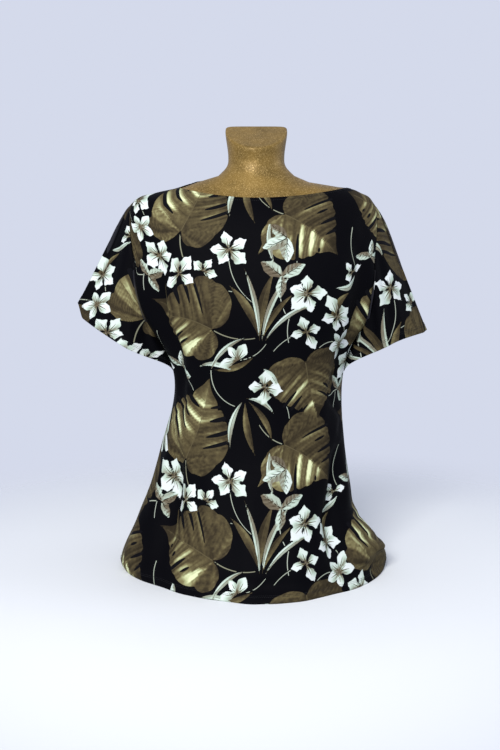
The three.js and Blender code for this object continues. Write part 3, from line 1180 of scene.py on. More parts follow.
@dataclass
class Stroke:
    """A drawn line of the print.

    Attributes:
        path: Its centre line on the flat cut, in millimetres.
        half: Half its width at each of the path's points.
        tone: 0 for the ground's black up to 1 for white.
        owner: The motif that it belongs to, in the order of printing.
    """

    path: Array
    half: Array
    tone: float
    owner: int = -1

    def read(self, points: Array) -> tuple[Array, Array]:
        """Measures points against the line.

        Args:
            points: Points on the flat cut.

        Returns:
            Each point's signed distance from the centre line, and half the width beside it.
        """
        span = np.diff(self.path, axis=0)
        away, share, distance = measured(points, self.path[:-1], span)
        pick = distance.argmin(1)
        at = (np.arange(len(points)), pick)
        away, share, distance = away[at], share[at], distance[at]
        turn = span[pick, 0] * away[:, 1] - span[pick, 1] * away[:, 0]
        half = mix(self.half[pick], self.half[pick + 1], np.clip(share, 0, 1))
        past = ((pick == 0) & (share < 0)) | ((pick == len(span) - 1) & (share > 1))
        return np.where(turn < 0, -1, 1) * distance, np.where(past, -distance, half)


@dataclass
class Motif:
    """One figure of the print, in its own units: across and along, 1 being its size.

    Attributes:
        u: Across the flat cut in millimetres.
        v: Down the flat cut.
        turn: The way it grows in degrees: 0 is up the cloth, and + turns clockwise.
        size: Its length in millimetres.
    """

    u: float
    v: float
    turn: float
    size: float

    def _ways(self) -> tuple[Array, Array]:
        """Returns the ways across it and along it on the flat cut."""
        sine, cosine = math.sin(math.radians(self.turn)), math.cos(math.radians(self.turn))
        return np.array([cosine, sine]), np.array([sine, -cosine])

    def placed(self, local: Array) -> Array:
        """Puts local points on the flat cut."""
        across, along = self._ways()
        return np.array([self.u, self.v]) + self.size * (local[..., :1] * across + local[..., 1:] * along)

    def local(self, points: Array) -> Array:
        """Reads points of the flat cut in the motif's own units."""
        away = (points - np.array([self.u, self.v])) / self.size
        return np.stack([away @ way for way in self._ways()], -1)

    def outlines(self) -> list[Array]:
        """Returns the closed outlines that it fills, on the flat cut."""
        return []

    def tone(self, points: Array) -> Array:
        """Returns the tone of its filling at points of the flat cut."""
        return np.zeros(len(points))

    def strokes(self) -> list[Stroke]:
        """Returns the lines drawn in it."""
        return []

    def line(self, local: Array, first: float, last: float, tone: float) -> Stroke:
        """Makes a stroke from local points, with half-widths in millimetres at its two ends."""
        return Stroke(self.placed(local), np.linspace(first, last, len(local)), tone)


LEAF_EDGE = (
    (0, 0.02), (0.07, -0.09), (0.21, -0.15), (0.37, -0.12), (0.48, 0), (0.53, 0.16), (0.52, 0.33),
    (0.46, 0.49), (0.365, 0.63), (0.25, 0.745), (0.14, 0.84), (0.055, 0.93), (0, 1.05),
)

LEAF_RIBS = (-0.31, -0.15, 0.02, 0.19, 0.37, 0.56, 0.76)


@dataclass
class SplitLeaf(Motif):
    """A broad heart-shaped leaf, split between its ribs.

    Attributes:
        left: How wide its left half is, 1 being half its length.
        right: How wide its right half is.
        bend: How far its midrib bows aside.
        lean: How far its ribs lean towards its tip.
        light_left: How bright the lights between the ribs are on its left half.
        light_right: The same on its right half.
        seed: Fixes its unevenness.
        back: How far behind the stalk, along the midrib, the hindmost rib is counted.
        last_bearing: The way that rib runs, in degrees from the tip's.
    """

    left: float
    right: float
    bend: float
    lean: float
    light_left: float
    light_right: float
    seed: int
    back: float = 0.35
    last_bearing: float = 150

    def __post_init__(self) -> None:
        """Draws the random numbers of its lobes."""
        draw = np.random.default_rng(int(self.seed))
        self.lobes = draw.uniform(0, 1, (2, len(LEAF_RIBS)))
        self.shifts = draw.uniform(-1, 1, (2, len(LEAF_RIBS)))
        self.first_bearing = math.degrees(math.atan2(1, self.lean + 0.1))
        self.edge = curve_through(LEAF_EDGE, 5)

    def _aside(self, along: Array) -> Array:
        """Returns how far its midrib bows aside at shares of its length."""
        held = np.clip(along, 0, 1)
        return self.bend * 4 * held * (1 - held)

    def _half(self, side: int, points: Array) -> Array:
        """Turns points of one straight half into local points of the bent leaf."""
        wide = self.left if side < 0 else self.right
        return np.stack([side * wide * points[..., 0] + self._aside(points[..., 1]), points[..., 1]], -1)

    def _straight(self, points: Array) -> tuple[Array, Array]:
        """Turns points of the flat cut into points of the straight halves, and their side.

        Args:
            points: Points of the flat cut in millimetres.

        Returns:
            Points as shares of the size, and whether each lies on the left half.
        """
        local = self.local(points)
        across = local[:, 0] - self._aside(local[:, 1])
        wide = np.where(across < 0, self.left, self.right)
        return np.stack([np.abs(across) / wide, local[:, 1]], -1), across < 0

    def _rise(self, across: Array) -> Array:
        """Returns how far towards the tip a rib has come at distances from the midrib."""
        return self.lean * across + 0.42 * across * across

    def _phase(self, points: Array) -> tuple[Array, Array]:
        """Returns where points lie, counted in ribs from the hindmost, and the number of their lobe.

        Args:
            points: Points of a straight half.

        Returns:
            The phase and the lobe of each point.
        """
        fore = points[..., 1] - self._rise(points[..., 0])
        past = np.degrees(np.arctan2(points[..., 0], points[..., 1])) - self.first_bearing
        past = np.clip(past / (self.last_bearing - self.first_bearing), 0, 1)
        phase = np.interp(np.where(fore > 0, fore, -self.back * past), LEAF_RIBS, range(len(LEAF_RIBS)))
        return phase, np.clip(phase.astype(int), 0, len(LEAF_RIBS) - 1)

    def _edge_share(self, points: Array) -> Array:
        """Returns how near the edge points lie, 1 being on it.

        Args:
            points: Points of a straight half.

        Returns:
            The share for each point.
        """
        edge = self.edge[:0:-1]
        angles, radii = np.degrees(np.arctan2(edge[:, 0], edge[:, 1])), np.linalg.norm(edge, axis=-1)
        angle = np.degrees(np.arctan2(points[..., 0], points[..., 1]))
        return np.linalg.norm(points, axis=-1) / np.interp(angle, angles, radii)

    def _rib(self, place: float, first: float, last: float, steps: int = 9) -> Array:
        """Follows one rib between two shares of the way to the edge.

        Args:
            place: Where the rib leaves the midrib, zero or less on the back lobes.
            first: The share it starts at.
            last: The share it ends at.
            steps: How many points it has.

        Returns:
            The rib's points on a straight half.
        """
        run = np.linspace(0, 0.8, 60)
        line = np.stack([run, place + self._rise(run)], -1)
        if place <= 0:
            turn = self.last_bearing - self.first_bearing
            angle = math.radians(self.first_bearing - place / self.back * turn)
            line = np.stack([run * math.sin(angle), run * math.cos(angle)], -1)
        share = self._edge_share(line)
        share[0] = 0 if place <= 0 else share[0]
        out = int(np.argmax(share > 1)) if (share > 1).any() else len(run) - 1
        length = np.interp(1.0, share[out - 1 : out + 1], run[out - 1 : out + 1])
        want = np.linspace(first, last, steps) * length
        return np.stack([np.interp(want, run, line[:, k]) for k in (0, 1)], -1)

    def outlines(self) -> list[Array]:
        """Returns its scalloped outline.

        Returns:
            One closed line.
        """
        phase, lobe = self._phase(self.edge)
        pinch = np.abs(2 * np.abs(phase % 1 - 0.5) - 1)
        halves = []
        for side in (1, -1):
            own = self.lobes[(side + 1) // 2, lobe]
            scale = 1 - (0.03 + 0.11 * own) * pinch**3 * (self.edge[:, 1] < 0.9)
            scale = scale * (1 + 0.035 * np.sin(5 * self.edge[:, 1] + side + self.seed))
            halves.append(self._half(side, self.edge * scale[:, None]))
        return [self.placed(closed(*halves))]

    def tone(self, points: Array) -> Array:
        """Returns the shading between its ribs.

        Args:
            points: Points of the flat cut in millimetres.

        Returns:
            A shade from dark to light for each point.
        """
        straight, left = self._straight(points)
        phase, lobe = self._phase(straight)
        part = phase % 1
        past = (part + 0.5) % 1
        own = self.lobes[left.astype(int), np.round(phase).astype(int).clip(0, len(LEAF_RIBS) - 1)]
        light = np.where(left, self.light_left, self.light_right)
        out = self._edge_share(straight)
        glow = smooth(past / 0.12) * (1 - smooth((past - 0.16) / (0.25 + 0.5 * own)))
        reach = 0.12 + 0.3 * self.lobes[left.astype(int), lobe]
        glow = glow * smooth((out - reach) / 0.28) * (1 - 0.7 * smooth((out - 0.72) / 0.28))
        glow = glow * (0.8 + 0.2 * np.sin(2 * np.pi * 4 * phase + 3 * out))
        brush = 0.06 * np.sin(2 * np.pi * 3 * phase + 5 * out + self.seed) * smooth((out - 0.15) / 0.3)
        dark = 0.10 * bell(np.minimum(part, 1 - part), 0.14) * smooth(out / 0.2)
        shade = 0.10 * bell(out, 0.16) + 0.06 * smooth((out - 0.8) / 0.2)
        ground = 0.29 + 0.12 * (own - 0.5) + 0.10 * light + brush
        return ground + light * (0.25 + 0.75 * own) * 1.05 * glow - dark - shade

    def strokes(self) -> list[Stroke]:
        """Returns its midrib, ribs and splits.

        Returns:
            The strokes, the midrib last.
        """
        drawn = []
        for side in (1, -1):
            lobes, shifts = self.lobes[(side + 1) // 2], self.shifts[(side + 1) // 2]
            for k, place in enumerate(LEAF_RIBS):
                if place > -0.25:
                    drawn.append(self.line(self._half(side, self._rib(place, 0.04, 0.8)), 0.45, 0.1, 0.24))
                if k + 1 < len(LEAF_RIBS) and lobes[k] > 0.15:
                    drawn.append(self._split(side, k, lobes[k], 0.1 * shifts[k]))
        middle = np.stack([np.zeros(12), np.linspace(0.0, 0.94, 12)], -1)
        drawn.append(self.line(self._half(1, middle), 0.9, 0.25, 0.36))
        return drawn

    def _split(self, side: int, rib: int, own: float, shift: float) -> Stroke:
        """Draws the split that follows one rib: a deep lobe's runs out over the edge.

        Args:
            side: 1 for the right half, -1 for the left.
            rib: The rib's number.
            own: How deep the lobe beside it is cut.
            shift: How far it strays from the middle, as a share.

        Returns:
            The split's stroke.
        """
        between = mix(LEAF_RIBS[rib], LEAF_RIBS[rib + 1], 0.5 + shift)
        reach = 1.06 if own > 0.4 else 0.86
        path = self._half(side, self._rib(between, 0.26 + 0.36 * (1 - own), reach, 14))
        swell = np.sin(np.pi * np.linspace(0.04, 0.7 if reach > 1 else 1, 14)) ** 0.8
        width = 0.017 + 0.11 * abs(shift)
        return Stroke(self.placed(path), 0.2 + width * self.size * swell, 0.0)


class Petal(enum.Enum):
    """What a spray's petals are: half-widths at shares of their length."""

    BLOSSOM = (
        (0, 0.03), (0.14, 0.05), (0.28, 0.13), (0.42, 0.25), (0.55, 0.33), (0.66, 0.34), (0.77, 0.27),
        (0.87, 0.19), (0.97, 0.08), (1.1, 0),
    )
    LILY = (
        (0, 0.04), (0.12, 0.08), (0.3, 0.19), (0.5, 0.27), (0.68, 0.26), (0.84, 0.16), (0.94, 0.07), (1, 0),
    )
    LEAFLET = (
        (0, 0.03), (0.12, 0.13), (0.3, 0.23), (0.5, 0.26), (0.7, 0.2), (0.86, 0.1), (0.95, 0.04), (1, 0),
    )


@dataclass
class Spray(Motif):
    """Petals or leaflets round one middle.

    Attributes:
        count: How many.
        arc: How far round they spread in degrees, 360 for a whole flower.
        width: How wide they are, 1 being usual.
        seed: Fixes their unevenness.
        petal: What they are.
    """

    count: int
    arc: float
    width: float
    seed: int
    petal: Petal = Petal.BLOSSOM

    def __post_init__(self) -> None:
        """Draws the random numbers of its petals."""
        draw = np.random.default_rng(self.seed)
        angles = np.linspace(-self.arc / 2, self.arc / 2, self.count)
        if self.arc >= 360:
            angles = np.arange(self.count) * 360 / self.count
        self.angles = np.radians(angles + draw.uniform(-12, 12, self.count))
        self.lengths = draw.uniform(0.8, 1.12, self.count)
        self.wide = self.width * draw.uniform(0.85, 1.12, self.count)
        self.bends = draw.uniform(-0.12, 0.12, self.count)
        self.waves = draw.uniform(0, 6.28, (self.count, 2))

    def _turned(self, i: int, points: Array) -> Array:
        """Turns points along one straight petal to its own way.

        Args:
            i: The petal's number.
            points: Points as shares of a petal's length.

        Returns:
            The points as shares of the spray's size.
        """
        c, s = math.cos(self.angles[i]), math.sin(self.angles[i])
        b = points[..., 1]
        a = points[..., 0] + self.bends[i] * np.clip(b, 0, 1.2) ** 2
        return np.stack([a * c + b * s, b * c - a * s], -1) * self.lengths[i]

    def outlines(self) -> list[Array]:
        """Returns each petal's outline.

        Returns:
            A closed line for each petal.
        """
        along, half = curve_through(self.petal.value, 4).T
        ripple = 0.17 if self.petal is Petal.BLOSSOM else 0.06
        found = []
        for i in range(self.count):
            right, left = (
                half * self.wide[i] * (1 + ripple * np.sin(turns * along + wave))
                for turns, wave in zip((16, 19), self.waves[i])
            )
            line = closed(np.stack([right, along], -1), np.stack([-left, along], -1))
            found.append(self.placed(self._turned(i, line)))
        return found

    def tone(self, points: Array) -> Array:
        """Returns the shading of its petals: 0 is white, 0.3 mint and 1 brown.

        Args:
            points: Points of the flat cut in millimetres.

        Returns:
            A tone for each point.
        """
        local = self.local(points)
        angle = np.arctan2(local[:, 0], local[:, 1])
        gap = (angle[:, None] - self.angles + np.pi) % (2 * np.pi) - np.pi
        pick = np.abs(gap).argmin(1)
        own = gap[np.arange(len(points)), pick]
        radius = np.linalg.norm(local, axis=-1)
        along, aside = radius * np.cos(own) / self.lengths[pick], radius * np.sin(own)
        lean, drift = np.sign(np.sin(self.waves[pick, 0])), np.sin(self.waves[pick, 1])
        if self.petal is Petal.LEAFLET:
            veins = 0.12 * np.sin(34 * (along - 0.8 * np.abs(aside)))
            return np.clip(0.26 + 0.14 * drift + 0.42 * smooth(lean * aside / 0.05 * 0.5 + 0.5) + veins, 0, 1)
        shade = 0.42 * smooth((lean * aside + 0.01) / 0.14) * smooth((0.95 - along) / 0.5)
        return np.clip(0.8 * bell(along, 0.24) + shade + 0.12 * drift, 0, 1)

    def strokes(self) -> list[Stroke]:
        """Returns its streaks or veins.

        Returns:
            The strokes, petal by petal.
        """
        run = np.linspace(0, 1, 8)
        drawn = []
        for i in range(self.count):
            if self.petal is Petal.LEAFLET:
                starts = [(side, start) for side in (-1, 1) for start in (0.2, 0.4, 0.6)]
                lines = [((s * 0.17 * run * (1.1 - b), b + 0.18 * run), (0.8, 0.25, 0.2)) for s, b in starts]
                lines.append(((0 * run, 0.02 + 0.9 * run), (1.1, 0.3, 0.16)))
            else:
                streaks = ((0.1, 0.66, 1.5), (-0.9, 0.42, 0.8), (1, 0.5, 0.9))
                wide = 0.22 * run * self.wide[i]
                lines = [((lean * wide, 0.06 + b * run), (half, 0.15, 0.34)) for lean, b, half in streaks]
            drawn += [self.line(self._turned(i, np.stack(line, -1)), *pen) for line, pen in lines]
        return drawn


@dataclass
class Blade(Motif):
    """A long curved leaf, or a narrow bud.

    Attributes:
        bow: How far it bows aside, as a share of its length.
        curl: How far its end turns aside.
        half: Half its width in millimetres.
        first: The tone of its left half.
        second: The tone of its right half.
    """

    bow: float
    curl: float
    half: float
    first: float
    second: float

    def _line(self) -> tuple[Array, Array]:
        """Returns its centre line and its half-widths.

        Returns:
            The line's points on the flat cut, and the half-width at each.
        """
        share = np.linspace(0, 1, 18)
        half = self.half * np.sin(np.pi * share**1.1) ** 1.15 + 0.6 * (1 - share)
        return self.placed(bow_path(share, self.bow, self.curl)), half

    def outlines(self) -> list[Array]:
        """Returns its outline.

        Returns:
            One closed line.
        """
        path, half = self._line()
        along = unit(np.gradient(path, axis=0))
        across = np.stack([-along[:, 1], along[:, 0]], -1) * half[:, None]
        return [closed(path + across, path - across)]

    def tone(self, points: Array) -> Array:
        """Returns its shading across and along.

        Args:
            points: Points of the flat cut in millimetres.

        Returns:
            A tone for each point.
        """
        aside, wide = Stroke(*self._line(), 0).read(points)
        across = smooth(aside / np.maximum(wide, 0.6) * 0.9 + 0.5)
        along = self.local(points)[:, 1]
        return np.clip(mix(self.first, self.second, across) + 0.1 * np.sin(7 * along + self.size), 0, 1)

    def strokes(self) -> list[Stroke]:
        """Returns its rib, where it is wide enough for one."""
        path, half = self._line()
        return [Stroke(path, np.minimum(0.4, half * 0.2), 0.3)] if self.half >= 3.4 else []


@dataclass
class Stem(Motif):
    """A thin stem."""

    bow: float
    curl: float
    half: float
    shade: float

    def strokes(self) -> list[Stroke]:
        """Returns its one line."""
        path = bow_path(np.linspace(0, 1, 14), self.bow, self.curl)
        return [self.line(path, self.half, self.half * 0.7, self.shade)]


@dataclass
class Chart:
    """A print: its motifs in the order of printing.

    Attributes:
        stems: Drawn under everything.
        leaves: Filled with the leaf inks.
        blooms: Filled with the pale inks, over the leaves.
        far: How far off, in millimetres, a point is said to lie where no motif is near.
        margin: How far round a motif, in millimetres, points are measured against it.
    """

    stems: list[Motif]
    leaves: list[Motif]
    blooms: list[Motif]
    far: float = 50.0
    margin: float = 9

    def _near(self, points: Array, lines: Sequence[Array]) -> Array:
        """Marks the points in the box round some lines.

        Args:
            points: Points of the flat cut in millimetres.
            lines: The lines' points.

        Returns:
            Whether each point lies in the box.
        """
        low = np.min([line.min(0) for line in lines], 0) - self.margin
        high = np.max([line.max(0) for line in lines], 0) + self.margin
        return ((points > low) & (points < high)).all(1)

    def stamp(self, cut: Array) -> tuple[Array, Array, Array, list[Stroke]]:
        """Prints on a flat cut.

        Args:
            cut: The cut's grid, across and down in millimetres.

        Returns:
            For each point of the grid, how far inside the leaves and the blooms it lies in
            millimetres, and their tones; for each cell the number of its stroke; and the strokes.
        """
        points = cut.reshape(-1, 2)
        owner = np.full(len(points), -1)
        depth, tone = np.full((2, len(points)), -self.far), np.zeros((2, len(points)))
        strokes = [stroke for stem in self.stems for stroke in stem.strokes()]
        number = 0
        for layer, motifs in enumerate((self.leaves, self.blooms)):
            for motif in motifs:
                outlines = motif.outlines()
                near = np.flatnonzero(self._near(points, outlines))
                if not len(near):
                    continue
                inside = np.max([inside_by(line, points[near]) for line in outlines], 0)
                over = (inside > 0) | (inside > depth[layer, near])
                tone[layer, near[over]] = motif.tone(points[near[over]])
                depth[layer, near] = np.maximum(depth[layer, near], inside)
                owner[near[inside > 0]] = number
                strokes += [replace(stroke, owner=number) for stroke in motif.strokes()]
                number += 1
        return depth, tone, self._choose(cut, owner.reshape(cut.shape[:2]), strokes), strokes

    def _choose(self, cut: Array, owner: Array, strokes: list[Stroke]) -> Array:
        """Finds the stroke that each cell of the grid shows.

        Args:
            cut: The flat cut's grid in millimetres.
            owner: The number of the motif that each point shows, -1 for none.
            strokes: All the strokes.

        Returns:
            The stroke's number for each cell, -1 for none.
        """
        top = np.max([owner[:-1, :-1], owner[:-1, 1:], owner[1:, :-1], owner[1:, 1:]], 0).ravel()
        middle = ((cut[:-1, :-1] + cut[1:, 1:] + cut[:-1, 1:] + cut[1:, :-1]) / 4).reshape(-1, 2)
        best, pick = np.full(len(middle), 1 - float(self.margin)), np.full(len(middle), -1)
        for index, stroke in enumerate(strokes):
            near = np.flatnonzero(self._near(middle, [stroke.path]) & (top <= stroke.owner))
            if len(near):
                aside, half = stroke.read(middle[near])
                score = half - np.abs(aside)
                better = score > best[near]
                best[near[better]], pick[near[better]] = score[better], index
        return pick.reshape(cut.shape[0] - 1, cut.shape[1] - 1)

    def print_on(self, stamped: StampedMesh) -> None:
        """Stores the print on a piece for its finish to read.

        Args:
            stamped: The piece and its flat cut.
        """
        cut = stamped.cut / MM
        depth, tone, cells, strokes = self.stamp(cut)
        source = stamped.source
        wrong = np.repeat((stamped.side == Side.WRONG.value)[:, None], 4, 1)
        flat = cut.reshape(-1, 2)[source]
        stamped.attribute("inks", depth[0][source], depth[1][source], wrong)
        stamped.attribute("tones", tone[0][source], tone[1][source], 0)
        stamped.attribute("cut", flat[..., 0] * MM, flat[..., 1] * MM, wrong)
        row, column = np.divmod(source.min(1), cut.shape[1])
        cell = cells[np.minimum(row, len(cells) - 1), np.minimum(column, cells.shape[1] - 1)]
        aside, half, shade = np.full(source.shape, self.far), np.zeros(source.shape), np.zeros(source.shape)
        order = np.argsort(cell, kind="stable")
        marks = np.searchsorted(cell[order], np.arange(len(strokes) + 1))
        for stroke, first, last in zip(strokes, marks, marks[1:]):
            own = order[first:last]
            if len(own):
                aside[own], half[own] = (x.reshape(-1, 4) for x in stroke.read(flat[own].reshape(-1, 2)))
                shade[own] = stroke.tone
        stamped.attribute("stroke", aside, half, shade)


def rows_of(kind: Callable[..., Motif], rows: Sequence[Sequence[float]], **given: object) -> list[Motif]:
    """Makes a motif of each row of numbers."""
    return [kind(*row, **given) for row in rows]


@dataclass(frozen=True)
class HalfDrop:
    """A repeat of the print, each column of it half a repeat lower than the last.

    Attributes:
        unit: The motifs of one repeat, on a field that starts at zero.
        size: The field's width, and its length down the cloth, in millimetres.
        reach: How far a motif may stand out of its own field.
    """

    unit: Chart
    size: tuple[float, float]
    reach: float = 170

    def over(self, cut: Array, start: tuple[float, float]) -> Chart:
        """Lays the repeat over a piece.

        Args:
            cut: The piece's flat cut in millimetres.
            start: The place in the repeat that the cut's own zero falls on.

        Returns:
            The piece's whole chart.
        """
        across, down = self.size
        low = cut.reshape(-1, 2).min(0) - self.reach + start
        high = cut.reshape(-1, 2).max(0) + self.reach + start
        columns = range(math.floor(low[0] / across) - 1, math.ceil(high[0] / across) + 1)
        rows = range(math.floor(low[1] / down) - 2, math.ceil(high[1] / down) + 1)
        places = [(c * across, (r + 0.5 * (c % 2)) * down) for c in columns for r in rows]

        def spread(motifs: list[Motif]) -> list[Motif]:
            """Copies motifs to each place where they can reach the piece.

            Args:
                motifs: The motifs of one repeat.

            Returns:
                Their copies, moved onto the cut.
            """
            return [
                replace(motif, u=motif.u + u - start[0], v=motif.v + v - start[1])
                for motif in motifs
                for u, v in places
                if low[0] < motif.u + u < high[0] and low[1] < motif.v + v < high[1]
            ]

        return Chart(spread(self.unit.stems), spread(self.unit.leaves), spread(self.unit.blooms))


# One repeat of the print, charted on a field 400 across and 420 down.
# u v turn size left right bend lean light_left light_right seed
LEAVES = (
    (60, 150, 20, 150, 1.1, 0.85, 0.05, 0.4, 1, 0.3, 61),
    (250, 120, 125, 120, 1.25, 1.2, -0.04, 0.5, 0.3, 1, 62),
    (120, 330, -70, 140, 0.95, 1.1, 0.04, 0.6, 0.9, 0.4, 63),
    (290, 390, 165, 110, 1.4, 1.35, 0.02, 0.7, 0.4, 0.7, 64),
)
# u v turn size bow curl half first second
BROWN_BLADES = (
    (205, 345, -30, 110, 0.08, 0, 7, 0.22, 0.4),
    (205, 345, 10, 120, -0.05, 0.04, 8, 0.24, 0.38),
    (210, 345, 35, 95, -0.08, 0, 5, 0.26, 0.42),
    (180, 40, 170, 100, 0.06, 0, 6, 0.24, 0.44),
    (185, 40, 145, 85, -0.06, 0.08, 5, 0.22, 0.4),
    (20, 240, 150, 60, 0.12, 0, 5, 0.26, 0.42),
    (375, 250, -150, 75, 0.1, 0, 6, 0.24, 0.44),
    (120, 405, 70, 80, 0.1, 0, 5, 0.24, 0.42),
    (225, 130, -160, 70, -0.1, 0, 5.5, 0.26, 0.44),
)
MINT_BLADES = (
    (205, 350, -12, 135, 0.05, 0, 4, 0.3, 0.62),
    (210, 350, 22, 130, -0.08, 0.03, 4.5, 0.6, 0.26),
    (215, 350, 55, 115, -0.12, 0, 3.6, 0.26, 0.6),
    (175, 40, -165, 90, 0.1, 0, 4.5, 0.55, 0.28),
    (180, 35, 120, 60, -0.15, 0, 3.6, 0.24, 0.5),
    (345, 250, 60, 55, 0.12, 0, 4.5, 0.2, 0.45),
    (90, 400, 95, 70, -0.12, 0, 4, 0.5, 0.24),
    (240, 20, -35, 50, 0.08, 0, 5, 0.16, 0.4),
    (115, 405, 45, 90, -0.1, 0.03, 3.8, 0.28, 0.6),
    (225, 130, 175, 85, 0.08, 0, 3.8, 0.58, 0.26),
)
# u v turn size count arc width seed
BLOSSOMS = (
    (290, 265, 10, 38, 5, 360, 0.95, 71),
    (350, 300, 40, 35, 5, 360, 0.95, 72),
    (290, 335, -20, 33, 4, 360, 0.95, 73),
    (15, 190, 15, 33, 5, 360, 0.95, 74),
    (60, 225, 50, 30, 4, 360, 1, 75),
    (150, 185, -15, 35, 5, 360, 1, 76),
    (105, 225, 30, 27, 3, 170, 1, 77),
    (215, 15, 0, 32, 4, 360, 1.05, 78),
    (385, 215, -40, 28, 3, 200, 0.95, 79),
)
LILIES = (
    (370, 355, 30, 36, 5, 360, 0.95, 81),
    (165, 385, -40, 31, 3, 150, 0.95, 82),
)
LEAFLETS = (
    (245, 235, -60, 44, 3, 220, 0.95, 91),
    (30, 405, 20, 40, 3, 190, 0.95, 92),
    (255, 165, -120, 48, 3, 130, 0.95, 93),
    (385, 25, 60, 38, 3, 170, 0.95, 94),
)
# u v turn size bow curl half shade
STEMS = (
    (60, 150, 165, 70, 0.1, 0, 1.1, 0.55),
    (250, 120, -50, 60, -0.1, 0, 0.9, 0.6),
    (120, 330, 100, 80, 0.1, 0, 1, 0.55),
    (290, 265, -160, 95, 0.16, 0, 0.8, 0.8),
    (350, 300, 150, 65, -0.14, 0, 0.7, 0.75),
    (290, 335, -120, 70, 0.1, 0, 0.7, 0.75),
    (150, 185, 160, 110, 0.1, -0.1, 0.7, 0.75),
    (105, 225, 120, 75, 0.15, 0, 0.7, 0.75),
    (15, 190, -150, 90, 0.14, 0, 0.7, 0.8),
    (215, 15, 140, 75, -0.14, 0.05, 0.7, 0.75),
    (245, 235, 170, 80, 0.12, 0, 0.8, 0.8),
    (370, 355, -110, 70, 0.18, 0, 0.8, 0.75),
    (165, 385, 60, 60, 0.12, 0, 0.7, 0.75),
    (30, 405, 130, 60, -0.12, 0, 0.8, 0.8),
    (385, 25, -120, 90, 0.12, 0, 0.7, 0.75),
    (115, 405, 150, 80, 0.16, -0.1, 0.8, 0.75),
    (230, 130, 150, 95, -0.14, 0.08, 0.8, 0.75),
    (385, 130, 170, 90, 0.12, 0, 0.7, 0.75),
)

PRINT = HalfDrop(
    Chart(
        rows_of(Stem, STEMS),
        rows_of(SplitLeaf, LEAVES) + rows_of(Blade, BROWN_BLADES),
        rows_of(Blade, MINT_BLADES)
        + rows_of(Spray, LEAFLETS, petal=Petal.LEAFLET)
        + rows_of(Spray, LILIES, petal=Petal.LILY)
        + rows_of(Spray, BLOSSOMS),
    ),
    (400, 420),
)

PRINT_STARTS = {
    "front_panel": (200, 60),
    "back_panel": (40, 270),
    "sleeve_left": (330, 150),
    "sleeve_right": (90, 20),
}


# ---- finishes ----
Operand = "Value | float"


def maths(kind: str, last: bool = False) -> Callable[..., "Value"]:
    """Makes an operator of Value's.

    Args:
        kind: The Math node's operation.
        last: Whether the value itself comes after the other operand.

    Returns:
        The operator.
    """

    def operator(self: "Value", *others: Operand) -> "Value":
        """Joins the value and any other operand in a Math node."""
        operands = (*others, self) if last else (self, *others)
        return self.tree.node("ShaderNodeMath", {"operation": kind}, *operands).out("Value")

    return operator


@dataclass
class Value:
    """A number or a vector that varies: one output socket, with Python's operators.

    Attributes:
        tree: The tree that the socket belongs to.
        socket: The output socket.
    """

    tree: "Nodes"
    socket: bpy.types.NodeSocket

    __add__ = __radd__ = maths("ADD")
    __sub__ = maths("SUBTRACT")
    __rsub__ = maths("SUBTRACT", last=True)
    __mul__ = maths("MULTIPLY")
    __truediv__ = maths("DIVIDE")
    __abs__ = maths("ABSOLUTE")


@dataclass
class Made:
    """A node that has been added to a tree."""

    tree: "Nodes"
    data: bpy.types.Node

    def out(self, name: str) -> Value:
        """Returns one of the node's outputs that is in use."""
        found = [socket for socket in self.data.outputs if socket.name == name and socket.enabled]
        return Value(self.tree, found[0])


class Nodes:
    """A node tree under construction."""

    def __init__(self, tree: bpy.types.NodeTree) -> None:
        """Works on a tree."""
        self.tree = tree

    def node(self, kind: str, settings: dict | None = None, *values: object, **named: object) -> Made:
        """Adds a node.

        Args:
            kind: The node's type.
            settings: Its settings, made before its sockets are filled.
            *values: What its sockets take, in order.
            **named: What its named sockets take.

        Returns:
            The node.
        """
        made = self.tree.nodes.new(kind)
        for key, value in (settings or {}).items():
            setattr(made, key, value)
        sockets = [socket for socket in made.inputs if socket.enabled]
        for socket, value in zip(sockets, values):
            self.fill(socket, value)
        for key, value in named.items():
            self.fill(next(s for s in sockets if s.name.replace(" ", "_") == key), value)
        return Made(self, made)

    def fill(self, socket: bpy.types.NodeSocket, value: object) -> None:
        """Links a value to a socket, or sets the socket to a constant.

        Args:
            socket: The socket.
            value: A value of the tree, or a constant.
        """
        if isinstance(value, Value):
            self.tree.links.new(value.socket, socket)
        else:
            socket.default_value = value


